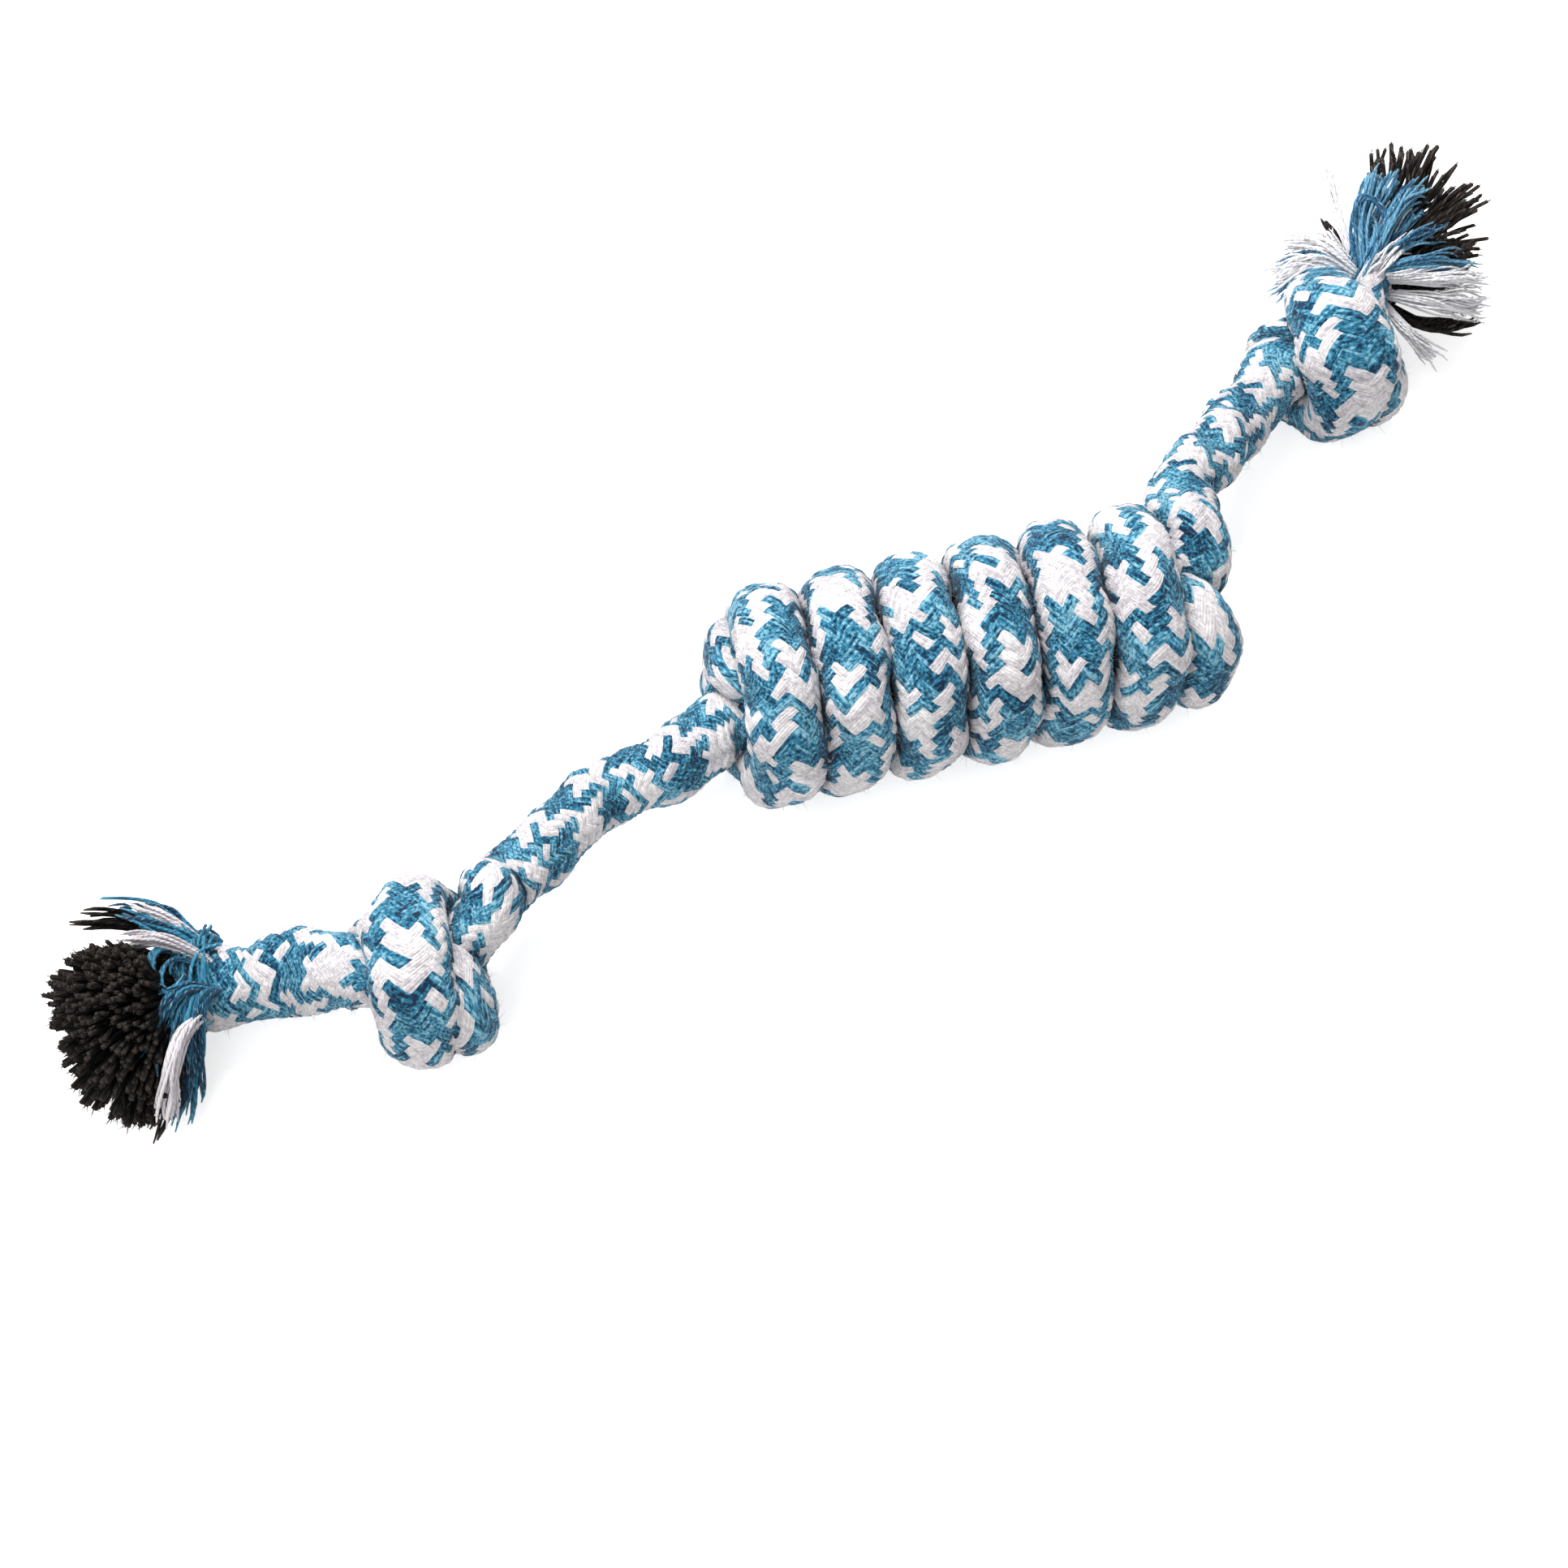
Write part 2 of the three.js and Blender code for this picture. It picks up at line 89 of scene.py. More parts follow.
# The rope and its braid
rope = {
    "radius": 6.6,  # mm, over the crowns of the yarns
    "step": 0.3,  # mm between mesh rows
    "columns": 120,  # mesh columns round the rope
    "yarns": 16,  # in each direction
    "lead": 27.8,  # mm of rope for one turn of a yarn
    "yarnHigh": 0.36,  # mm, half the thickness of a yarn
    "weave": 0.22,  # mm that a yarn rises and dips
    "lumps": 0.42,  # mm by which a group's middle stands over its edges
    "crown": 0.7,  # share of the weave by which the surface is lowered to its mean height
    "squareness": 0.15,  # by how much the power of the section drops under 1 where it is squeezed
    "phase": 0.31,  # turns by which the colours are set round the rope
    "yarnWide": 1.06,  # share of the spacing that one yarn covers
    "colours": 8,  # yarns in one pattern, half white and half blue
    "oddYarn": 10,  # the one in each direction that has the other colour
    "threads": 4,  # threads side by side in a yarn
    "pace": 0.65,  # power of the way between two stations that the spline's parameter grows by
    "fineStep": 0.05,  # of that parameter, for measuring the line's length
    "smoothRows": 13,  # rows in the running mean of the sizes and of the outward side
    "drift": 0.16,  # yarns by which the braid wanders
    "uneven": 0.2,  # mm by which the surface rises and falls slowly
    "rounding": 0.16,  # square mm, how softly the rope's underside turns flat on the ground
}
# For measuring the painted shade in the creases where the rope touches its other turns
crowd = {"apart": 18, "reach": 2.6, "every": 6}  # mm along the line, mm between surfaces, rows

# The knots, each round its own axis, in degrees and mm: turns from start to end, half sizes of the rope on
# them, and the smaller run of rope squeezed inside. Rows of away, lobeOut and lobeIn are shares of the
# radius along and out, an angle, and how far the rope has grown from the run's size to the turn's.
barrel = {
    "turns": 6, "start": 285, "end": 315, "pitch": 12.9, "radius": 12.6, "halfWide": 6.5, "halfThick": 6.8,
    "lean": 0.55, "bulge": 0, "runHalfWide": 4.6, "runHalfThick": 2.7, "runOffset": 2.65, "squeezedEnd": 5,
    "openOffset": 2.4, "drawn": 3.2,
    "away": [(0, 0.24, 40, 0.5), (0.34, 0.38, 45, 0.75), (0.5, 0.64, 34, 0.8), (0.56, 1.04, 18, 0.9)],
    "lobeOut": [(-0.1, 0.28, -160, 0.5), (0.08, 0.48, -155, 0.85), (0.19, 0.68, -132, 1),
                (0.19, 0.81, -98, 1), (0.12, 0.9, -60, 1), (0.04, 0.97, -27, 1)],
    "lobeIn": [(0.16, 0.94, 18, 0.95), (0.08, 0.78, 42, 0.9), (0.06, 0.55, 60, 0.85), (0.16, 0.36, 80, 0.6),
               (0.36, 0.24, 110, 0.3)],
    "centre": (0, 0.6, 17.5), "yaw": 0,
}
endKnot = {
    "turns": 1, "start": 330, "end": 270, "pitch": 12.4, "radius": 10, "halfWide": 5.9, "halfThick": 5.7,
    "lean": 1.9, "bulge": 1.2, "runHalfWide": 3.9, "runHalfThick": 3.0, "runOffset": 2.5, "squeezedEnd": 5.5,
    "openOffset": -2.4, "drawn": 0,
    "away": [(0.25, 0.3, 40, 0.4), (0.55, 0.62, 35, 0.5), (0.85, 1.1, 25, 0.6)],
    "lobeOut": [(0.05, 0.3, -215, 0.5), (0.25, 0.5, -200, 0.9), (0.4, 0.66, -170, 1.05),
                (0.42, 0.72, -130, 1.05), (0.29, 0.84, -85, 1), (0.1, 0.96, -38, 1)],
    "lobeIn": [(-0.05, 0.94, 18, 0.9), (-0.2, 0.8, 42, 0.9), (-0.32, 0.6, 66, 0.85), (-0.3, 0.38, 88, 0.6),
               (-0.1, 0.26, 110, 0.3)],
}
leftKnot = dict(endKnot, centre=(-106.6, -32.4, 13.6), yaw=-14.7, halfWide=6.2)
rightKnot = dict(endKnot, centre=(80.2, 48.2, 13.4), yaw=0, lean=1.3, bulge=2.6, halfWide=6.7)
rightKnot["lobeOut"] = [(along - 0.24, out, angle, grown) for along, out, angle, grown in endKnot["lobeOut"]]
rightKnot["away"] = [(0.2, 0.3, 40, 0.2), (0.45, 0.6, 35, 0.25), (0.75, 1.1, 22, 0.1)]
knotLayout = {
    "radian": 57.3,  # degrees
    "turnStep": 15,  # degrees between the stations of a turn
    "runStep": 13.2,  # mm between the stations of a run
    "runReach": 0.32,  # share of the radius that a run goes past the turns
    "opening": (0.9, 0.5, 0.1, 0, 0, 0),  # how far the rope is still round at the first stations of a run
    "lobeSquare": 0.6, "runSquare": 0.5,
    "frontAngle": 480,  # degrees, the middle of the bulge in front
    "frontWide": 90,  # degrees from there to its end
    "outerGrown": 0.94,  # share of a turn's thickness at the outermost stations
    "grownStep": 0.02,  # by which it grows at each station inwards
}

# Places where the rope bends, each the middle of one joint.
bends = {
    "leftTuft": (-135.5, -25, 8.2), "leftTail": (-123.5, -28.4, 10), "leftKnot": (-79.3, -19.3, 14),
    "leftSpan": (-70.5, -13.8, 13), "leftBarrel": (-61.5, -9.2, 13), "rightBarrel": (54, 24, 17.5),
    "rightSpan": (60.3, 30.5, 14.7), "rightKnot": (66.3, 36.4, 12.3), "rightTuft": (101.6, 62.5, 17),
}


# Rows of x, y, z, outward x, y, z, half width, half thickness, held and squareness: the low run under the
# turns, a lobe, the turns, a lobe, the high run back through them and the way out. A turn's x falls by one
# pitch in 360 degrees, less lean times the sine of the angle past 120 degrees, and near the last turn it
# rises by drawn; y and z are radius times cosine and sine of the angle.
def knotStations(k):
    middle = 270 + 360 * math.floor(k["turns"] / 2 + 0.5)
    lastAngle = k["end"] + 360 * k["turns"]
    rows = []

    def alongAt(angle):
        drawn = k["drawn"] * max(0, (angle - middle) / max(1, lastAngle - middle)) ** 8
        leaning = k["lean"] * knotLayout["radian"] * math.sin(math.radians(angle - 120))
        return drawn - k["pitch"] * (angle - middle - leaning) / 360

    # Half sizes a share of the way from the run's to the given ones.
    def halves(wide, thick, share):
        return (k["runHalfWide"] + (wide - k["runHalfWide"]) * share,
                k["runHalfThick"] + (thick - k["runHalfThick"]) * share)

    def lobe(shares, nearX, turnedBy, wide, thick):
        for along, out, angle, grown in shares:
            rows.append((nearX + along * size, out * size, angle + turnedBy, *halves(wide, thick, grown), 0,
                         knotLayout["lobeSquare"]))

    def run(fromX, toX, fromAngle, toAngle, openEnd):
        steps = max(5, round((toX - fromX) / knotLayout["runStep"]))
        for i in range(steps + 1):
            full = openEnd * knotLayout["opening"][min(i, 5)]
            rows.append((fromX + (toX - fromX) * i / steps, k["runOffset"] + k["openOffset"] * full,
                         fromAngle + (toAngle - fromAngle) * i / steps,
                         *halves(rope["radius"], rope["radius"], full), 1, knotLayout["runSquare"]))

    startX, endX, size = alongAt(k["start"]), alongAt(lastAngle), k["radius"]
    lowStart, lowEnd, reach = k["end"] - 60, k["start"] - 120, knotLayout["runReach"] * size
    run(endX - k["squeezedEnd"], startX - reach, lowStart, lowEnd, 1)
    lobe(k["lobeOut"], startX, k["start"], k["halfWide"], k["halfThick"])
    steps = round((lastAngle - k["start"]) / knotLayout["turnStep"])
    for i in range(steps + 1):
        angle = k["start"] + knotLayout["turnStep"] * i
        fromFront = abs(angle - knotLayout["frontAngle"]) / knotLayout["frontWide"]
        front = math.cos(min(1, fromFront) * math.pi / 2) ** 2
        grown = min(1, knotLayout["outerGrown"] + knotLayout["grownStep"] * min(i, steps - i))
        rows.append((alongAt(angle), size, angle, (k["halfWide"] + k["bulge"] * front) * grown,
                     k["halfThick"] * grown, 1, 1))
    lobe(k["lobeIn"], endX, lastAngle, k["halfWide"], k["halfThick"])
    run(endX + reach, startX - reach, lastAngle + 120, lastAngle + 120 + lowEnd - lowStart, 0)
    lobe(k["away"], startX, 0, rope["radius"], rope["radius"])
    x, r, angle, wide, thick, held, square = np.array(rows, float).T
    angle = np.radians(angle)
    yaw = math.radians(k["yaw"])
    outY, outZ = np.cos(angle), np.sin(angle)
    turn = lambda a, b: (a * math.cos(yaw) - b * math.sin(yaw), a * math.sin(yaw) + b * math.cos(yaw))
    px, py = turn(x, r * outY)
    ox, oy = turn(0 * x, outY)
    cx, cy, cz = k["centre"]
    return np.stack([px + cx, py + cy, r * outZ + cz, ox, oy, outZ, wide, thick, held, square], 1)


columnOf = {"place": slice(0, 3), "outward": slice(3, 6), "wide": 6, "thick": 7, "held": 8, "square": 9}


# Rows for round rope at plain points, with no held outward side.
def plain(*points, sizes=None):
    sizes = sizes or [rope["radius"]] * len(points)
    return np.array([(*p, 0, 0, 1, size, size, 0, 0) for p, size in zip(points, sizes)], float)


# The rope from its left end to its right end
stretches = [
    ("leftRoot", plain((-139.6, -24, 8.6), (-135.8, -25, 8.9), (-128.6, -26.8, 9.3),
                       (-123.5, -26.9, 10.4), (-119, -27.8, 11.2), sizes=(6.7, 7.4, 6.1, 7.5, 7.2))),
    ("leftKnot", knotStations(leftKnot)),
    ("leftSpan", plain((-86.5, -23.4, 15.6), (-80.3, -19, 13.8), (-70.9, -11.9, 13), (-61.1, -7.3, 13),
                       (-53.5, -6.5, 13.2), sizes=(6, 5.8, 5.7, 5.8, 6))),
    ("barrel", knotStations(barrel)),
    ("rightSpan", plain((46.7, 20.4, 18.9), (50.4, 26, 17.6), (58.6, 32.9, 14.7), (64.6, 38.8, 12.3),
                        (68.8, 42.2, 12.1), sizes=(6.2, 6, 5.9, 5.9, 6))),
    ("rightKnot", knotStations(rightKnot)),
    ("rightRoot", plain((98.4, 59.6, 17.1), (99.2, 61, 16.9), (99.9, 62.4, 16.7), sizes=(3.3, 3, 2.4))),
]
stations = np.concatenate([rows for _, rows in stretches])
stationOf = {}
count = 0
for name, rows in stretches:
    stationOf[name] = (count, count + len(rows) - 1)
    count += len(rows)


# Vectors divided by their length.
def unit(v):
    return v / np.maximum(np.linalg.norm(v, axis=-1, keepdims=True), 1e-12)


# Natural cubic spline: second derivatives from one linear system, then the cubic of each span.
def splineThrough(knots, values, at):
    count, gap = len(knots), np.diff(knots)[:, None]
    inner = np.arange(1, count - 1)
    system, right = np.eye(count), np.zeros_like(values)
    system[inner, inner - 1] = gap[:-1, 0]
    system[inner, inner] = 2 * (gap[:-1, 0] + gap[1:, 0])
    system[inner, inner + 1] = gap[1:, 0]
    slope = np.diff(values, axis=0) / gap
    right[1:-1] = 6 * (slope[1:] - slope[:-1])
    bend = np.linalg.solve(system, right)
    k = np.clip(np.searchsorted(knots, at) - 1, 0, count - 2)
    h, low, high = gap[k], (knots[k + 1] - at)[:, None], (at - knots[k])[:, None]
    curved = (bend[k] * low**3 + bend[k + 1] * high**3) / (6 * h)
    fromLow = (values[k] / h - bend[k] * h / 6) * low
    fromHigh = (values[k + 1] / h - bend[k + 1] * h / 6) * high
    return curved + fromLow + fromHigh


# Running mean over width rows, the ends repeated.
def smoothed(values, width):
    padded = np.pad(values, width // 2, mode="edge")
    return np.convolve(padded, np.ones(width) / width, mode="valid")[: len(values)]


# The rope's line at even steps of its length, with its outward side, its sizes and the braid's turn.
def layRope(stations, step):
    places = stations[:, columnOf["place"]]
    apart = np.linalg.norm(np.diff(places, axis=0), axis=1)
    knots = np.concatenate([[0], np.cumsum(apart ** rope["pace"])])
    fine = np.arange(0, knots[-1], rope["fineStep"])
    steps = np.linalg.norm(np.diff(splineThrough(knots, places, fine), axis=0), axis=1)
    travelled = np.concatenate([[0], np.cumsum(steps)])
    length = np.arange(0, travelled[-1], step)
    at = np.interp(length, travelled, fine)
    centre = splineThrough(knots, places, at)
    along = unit(np.gradient(centre, axis=0))
    side = np.zeros_like(along)
    side[0] = unit(np.cross(along[0], (0, 0, 1)))
    for i in range(1, len(along)):  # carried along without twist
        carried = side[i - 1] - along[i] * np.dot(side[i - 1], along[i])
        side[i] = carried / np.linalg.norm(carried)
    up = np.cross(along, side)
    held = stations[:, columnOf["held"]] > 0
    row = np.clip(np.searchsorted(at, knots[held]), 0, len(at) - 1)
    out = stations[held, columnOf["outward"]]
    turned = np.unwrap(np.arctan2((out * up[row]).sum(1), (out * side[row]).sum(1)))
    turned = smoothed(np.interp(at, knots[held], turned), rope["smoothRows"])[:, None]
    outward = side * np.cos(turned) + up * np.sin(turned)
    rowOf = np.clip(np.searchsorted(at, knots), 0, len(at) - 1)
    laid = {"centre": centre, "along": along, "outward": outward, "across": np.cross(along, outward),
            "turned": turned[:, 0], "length": length, "rowOf": rowOf}
    for key in ("wide", "thick", "square"):
        laid[key] = smoothed(np.interp(at, knots, stations[:, columnOf[key]]), rope["smoothRows"])
    return laid


line = layRope(stations, rope["step"])
print("rope laid:", round(line["length"][-1] / 1000, 3), "m in", len(line["length"]), "rows")


# Height over the yarns' middle: each yarn is a rounded ridge, half an ellipse across, that rises and dips
# as a cosine over four crossings; the higher of the two directions shows.
def braidHeight(a, b):
    def ridge(part):
        off = (part - 0.5) * 2 / rope["yarnWide"]
        return rope["yarnHigh"] * np.sqrt(np.maximum(0, 1 - off ** 2))

    i, j = np.floor(a), np.floor(b)
    first = ridge(a - i) + rope["weave"] * np.cos((i + b - 1) * math.pi / 2)
    second = ridge(b - j) + rope["weave"] * np.cos((a + j - 3) * math.pi / 2)
    return np.maximum(first, second)


# An array's numbers in a row, as Blender takes them.
def packed(values, kind=np.float32):
    return np.ascontiguousarray(values, kind).ravel()


# A mesh from whole arrays: points, four-sided faces, one u, v for each corner, one tone for each point and,
# where there are two materials, the number of each face's own.
def newMesh(name, points, faces, uv, tones, materials, which=None):
    mesh = bpy.data.meshes.new(name)
    mesh.vertices.add(len(points))
    mesh.vertices.foreach_set("co", packed(points))
    mesh.loops.add(faces.size)
    mesh.loops.foreach_set("vertex_index", packed(faces, np.int32))
    mesh.polygons.add(len(faces))
    mesh.polygons.foreach_set("loop_start", np.arange(0, faces.size, 4, dtype=np.int32))
    mesh.update(calc_edges=True)
    mesh.polygons.foreach_set("use_smooth", np.ones(len(faces), bool))
    for material in materials:
        mesh.materials.append(material)
    if which is not None:
        mesh.polygons.foreach_set("material_index", packed(which, np.int32))
    layer = mesh.uv_layers.new(name="yarnMap")
    layer.data.foreach_set("uv", packed(uv))
    attribute = mesh.attributes.new("tone", "FLOAT", "POINT")
    attribute.data.foreach_set("value", packed(tones))
    thing = bpy.data.objects.new(name, mesh)
    bpy.context.collection.objects.link(thing)
    return thing


# The sines of a slow wander: waves of each round the rope, and in mm along it the first one's length and
# what each next one adds
wandering = {"waves": (1, 2, 1, 3, 0, 2), "first": 9, "longer": 6.3}
rng = np.random.default_rng(7)
starts = rng.uniform(0, 2 * math.pi, (3, len(wandering["waves"])))


# How far the braid or the surface wanders: the sum of the sines, each weaker than the one before.
def wander(turn, length, k):
    size = lambda n: wandering["first"] + wandering["longer"] * n
    return sum(np.sin(2 * math.pi * (turn * m + length / size(n)) + starts[k, n]) / (1 + n / 2)
               for n, m in enumerate(wandering["waves"]))


# A screen colour of 0 to 255 as the linear colour of a material.
def linear(red, green, blue):
    part = lambda v: v / 12.92 if v <= 0.04045 else ((v + 0.055) / 1.055) ** 2.4
    return (*(part(v / 255) for v in (red, green, blue)), 1.0)


# A socket of a material's node tree. Each sum with it is a math node.
class Value:
    def __init__(self, graph, socket):
        self.graph, self.socket = graph, socket

    def math(self, operation, *others):
        return self.graph.node("ShaderNodeMath", {"operation": operation}, dict(enumerate((self, *others))))

    def __rsub__(self, other):
        return self.graph.node("ShaderNodeMath", {"operation": "SUBTRACT"}, {0: other, 1: self})

    __add__ = __radd__ = partialmethod(math, "ADD")
    __sub__ = partialmethod(math, "SUBTRACT")
    __mul__ = __rmul__ = partialmethod(math, "MULTIPLY")
    __mod__ = partialmethod(math, "FLOORED_MODULO")
    __lt__ = partialmethod(math, "LESS_THAN")
    floor = partialmethod(math, "FLOOR")
    root = partialmethod(math, "SQRT")
    cos = partialmethod(math, "COSINE")
    absolute = partialmethod(math, "ABSOLUTE")
    larger = partialmethod(math, "MAXIMUM")

    # 0 below low, 1 above high, smooth between.
    def between(self, low, high):
        return self.graph.node("ShaderNodeMapRange", {"interpolation_type": "SMOOTHSTEP"},
                               {"Value": self, "From Min": low, "From Max": high})


# The nodes of a material or the world, and the shader that they feed.
class Graph:
    def __init__(self, owner, settings, shader="Principled BSDF"):
        owner.use_nodes = True
        self.owner, self.tree = owner, owner.node_tree
        self.shader = self.tree.nodes[shader]
        for key, value in settings.items():
            self.shader.inputs[key].default_value = value

    def join(self, value, socket):
        if isinstance(value, Value):
            self.tree.links.new(value.socket, socket)
        else:
            socket.default_value = value

    def node(self, kind, settings=None, inputs=None, output=0):
        made = self.tree.nodes.new(kind)
        for key, value in (settings or {}).items():
            setattr(made, key, value)
        for key, value in (inputs or {}).items():
            self.join(value, made.inputs[key])
        return Value(self, made.outputs[output])

    # A number of 0 to 1 by chance, the same wherever the place's numbers are the same.
    def chance(self, place, dimensions):
        return self.node("ShaderNodeTexWhiteNoise", {"noise_dimensions": dimensions}, {"Vector": place})

    # Colour first where factor is 0, second where it is 1. A tuple is a screen colour.
    def mix(self, factor, first, second):
        first, second = (linear(*c) if isinstance(c, tuple) else c for c in (first, second))
        return self.node("ShaderNodeMix", {"data_type": "RGBA"}, {0: factor, 6: first, 7: second}, 2)

    def vector(self, x, y, z=0.0):
        return self.node("ShaderNodeCombineXYZ", None, {0: x, 1: y, 2: z})

    # A colour with every part multiplied by the factor.
    def scaled(self, colour, factor):
        return self.node("ShaderNodeVectorMath", {"operation": "SCALE"}, {0: colour, 3: factor})

    def noise(self, place, scale, detail=2.0):
        return self.node("ShaderNodeTexNoise", None, {"Vector": place, "Scale": scale, "Detail": detail})

    # The two numbers of the mesh's yarnMap.
    def yarnMap(self):
        place = self.node("ShaderNodeUVMap", {"uv_map": "yarnMap"})
        split = self.node("ShaderNodeSeparateXYZ", None, {0: place})
        return split, Value(self, split.socket.node.outputs[1])

    # The tone kept on the mesh's points.
    def tone(self):
        return self.node("ShaderNodeAttribute", {"attribute_name": "tone"}, None, 2)

    # 1 for rays from the camera, also by way of gloss or glass.
    def seen(self):
        straight = self.node("ShaderNodeLightPath")  # its first output is for rays from the camera
        outputs = straight.socket.node.outputs
        return straight + Value(self, outputs["Is Glossy Ray"]) + Value(self, outputs["Is Transmission Ray"])

    def feed(self, name, value):
        self.join(value, self.shader.inputs[name])

    # Height as tilt of the surface, with its distance in metres.
    def bump(self, strength, distance, height):
        inputs = {"Strength": strength, "Distance": distance, "Height": height}
        self.feed("Normal", self.node("ShaderNodeBump", None, inputs))


cotton = {
    "blue": (50, 134, 168), "blueDeep": (2, 38, 68), "bluePale": (146, 198, 216),
    "white": (232, 227, 229), "whiteDeep": (196, 190, 197), "whitePale": (249, 246, 246),
    # The crease keys set the painted shade where the rope touches its other turns
    "patchScale": 130, "creaseShadeDark": 0.42, "creaseShadeWhiteLess": 0.2,
    "fibreShare": 0.2, "threadShare": 0.16, "speckleShare": 0.64, "patchShare": 0.3, "creaseShadeTone": 0.07,
    "blueFrom": (0.36, 0.54), "bluePaleFrom": (0.5, 0.65), "whiteFrom": (0.3, 0.55),
    "whitePaleFrom": (0.5, 0.7), "relief": (0.9, 0.00018),  # strength, and depth in metres
    "shader": {"Roughness": 0.88, "Specular IOR Level": 0.25, "Sheen Weight": 0.12, "Sheen Roughness": 0.5},
}


# Braided cotton. u and v count the yarns of the two directions, and the formula of braidHeight says which
# yarn is on top, so its colour, threads and painted shade in the hollows lie on the mesh's own ridges.
def ropeMaterial(settings):
    g = Graph(bpy.data.materials.new("braidedCotton"), settings["shader"])
    a, b = g.yarnMap()
    i, j = a.floor(), b.floor()
    partA, partB = a - i, b - j

    def height(part, phase):
        off = (part - 0.5) * (2 / rope["yarnWide"])
        ridge = (1 - off * off).larger(0.0).root() * rope["yarnHigh"]
        return ridge + (phase * (math.pi / 2)).cos() * rope["weave"]

    # The yarn on top, and the place across and along it
    first, second = height(partA, i + b - 1), height(partB, a + j - 3)
    onTop = second < first
    pick = lambda one, other: other + onTop * (one - other)
    across = pick(partA, partB)
    strand = pick(i % rope["yarns"], j % rope["yarns"] + rope["yarns"])
    along = pick(b - i, a - j)
    span = ((along + (strand % 2) * 2) * 0.25).floor()
    chance = g.chance(g.vector(strand, span), "2D")

    # Its fibres and threads
    fibre = g.noise(g.vector(across * 5 + strand * 7.31, along * 0.8, chance * 3), 2.2, 4.0)
    wavy = g.noise(g.vector(strand * 3.7, along * 0.5), 1.0, 1.0)
    threads = (across + wavy * 0.12) * rope["threads"]
    thread = (threads % 1 - 0.5) * 2
    # Painted shade in the grooves between the threads
    grooveShade = thread.absolute().between(0.5, 1.0)
    threadChance = g.chance(g.vector(strand, span, threads.floor()), "3D")

    # Its colour, mottled, with painted shade in the hollows between yarns, in the grooves between threads
    # and in the creases where other turns of the rope crowd it
    white = strand % rope["colours"] < rope["colours"] / 2
    odd = (strand % rope["yarns"] - rope["oddYarn"]).absolute() < 0.5
    white = white + odd - white * odd * 2
    speckle = g.noise(g.vector(across * 3.4 + strand * 3.31, along * 3.0, chance * 5), 1.0, 3.0)
    # On the rope, the tone holds its painted crease shade
    creaseShade = g.tone()
    patch = g.noise(g.node("ShaderNodeTexCoord", None, None, 3), settings["patchScale"], 1.0)
    tone = fibre * settings["fibreShare"] + threadChance * settings["threadShare"]
    tone = tone + speckle * settings["speckleShare"] + (patch - 0.5) * settings["patchShare"]
    tone = tone - creaseShade * settings["creaseShadeTone"]
    blue = g.mix(tone.between(*settings["blueFrom"]), settings["blueDeep"], settings["blue"])
    blue = g.mix(tone.between(*settings["bluePaleFrom"]) * 0.95, blue, settings["bluePale"])
    pale = g.mix(tone.between(*settings["whiteFrom"]), settings["whiteDeep"], settings["white"])
    pale = g.mix(tone.between(*settings["whitePaleFrom"]), pale, settings["whitePale"])
    # Painted shade in the hollows between yarns: the mask is 0 in the hollows and 1 on the crowns
    hollowShadeMask = first.larger(second).between(-0.2, 0.3)
    shade = (0.62 + hollowShadeMask * 0.36) * (1 - grooveShade * 0.16) * (0.9 + chance * 0.12) * (0.76 + speckle * 0.42)
    # Painted shade in the creases where other turns touch, less on white yarn
    shade = shade * (1 - creaseShade * (settings["creaseShadeDark"] - white * settings["creaseShadeWhiteLess"]))
    g.feed("Base Color", g.scaled(g.mix(white, blue, pale), shade))

    # Relief finer than the mesh
    fine = g.noise(g.vector(across * 30 + strand * 5.3, along * 6), 1.0, 3.0)
    g.bump(*settings["relief"], (1 - thread * thread) * 0.35 + fine * 0.35 + speckle * 1.1)
    g.feed("Roughness", 0.8 + fibre * 0.18)
    return g.owner


# Twisted yarn: u goes round it and v along it, twist is the number of turns in its length, and the tone
# of each yarn is kept on its points.
def yarnMaterial(name, deep, main, pale, tip, twist=14, shader=cotton["shader"]):
    g = Graph(bpy.data.materials.new(name), shader)
    u, v = g.yarnMap()
    tone = g.tone()
    ply = ((u * 2 + v * twist + tone * 9) * (2 * math.pi)).cos()
    fibre = g.noise(g.vector(u * 6 + v * twist * 3, v * 14, tone * 40), 1.6, 4.0)
    colour = g.mix((tone * 0.5 + fibre * 0.5).between(0.25, 0.75), deep, main)
    colour = g.mix((ply * 0.12 + fibre).between(0.55, 0.85) * 0.75, colour, pale)
    colour = g.mix((v + fibre * 0.2).between(0.94, 1.16) * 0.75, colour, tip)
    # Painted shade in the grooves between the plies
    g.feed("Base Color", g.scaled(colour, 0.86 + ply.between(-1.0, 0.2) * 0.14))
    g.bump(0.7, 0.00012, ply * 0.6 + fibre * 0.5)
    g.feed("Roughness", 0.78 + fibre * 0.2)
    return g.owner


braided = ropeMaterial(cotton)
blueYarn = yarnMaterial("blueYarn", cotton["blueDeep"], cotton["blue"], cotton["bluePale"], (120, 190, 215))
whiteYarn = yarnMaterial("whiteYarn", cotton["whiteDeep"], cotton["white"], *[cotton["whitePale"]] * 2)
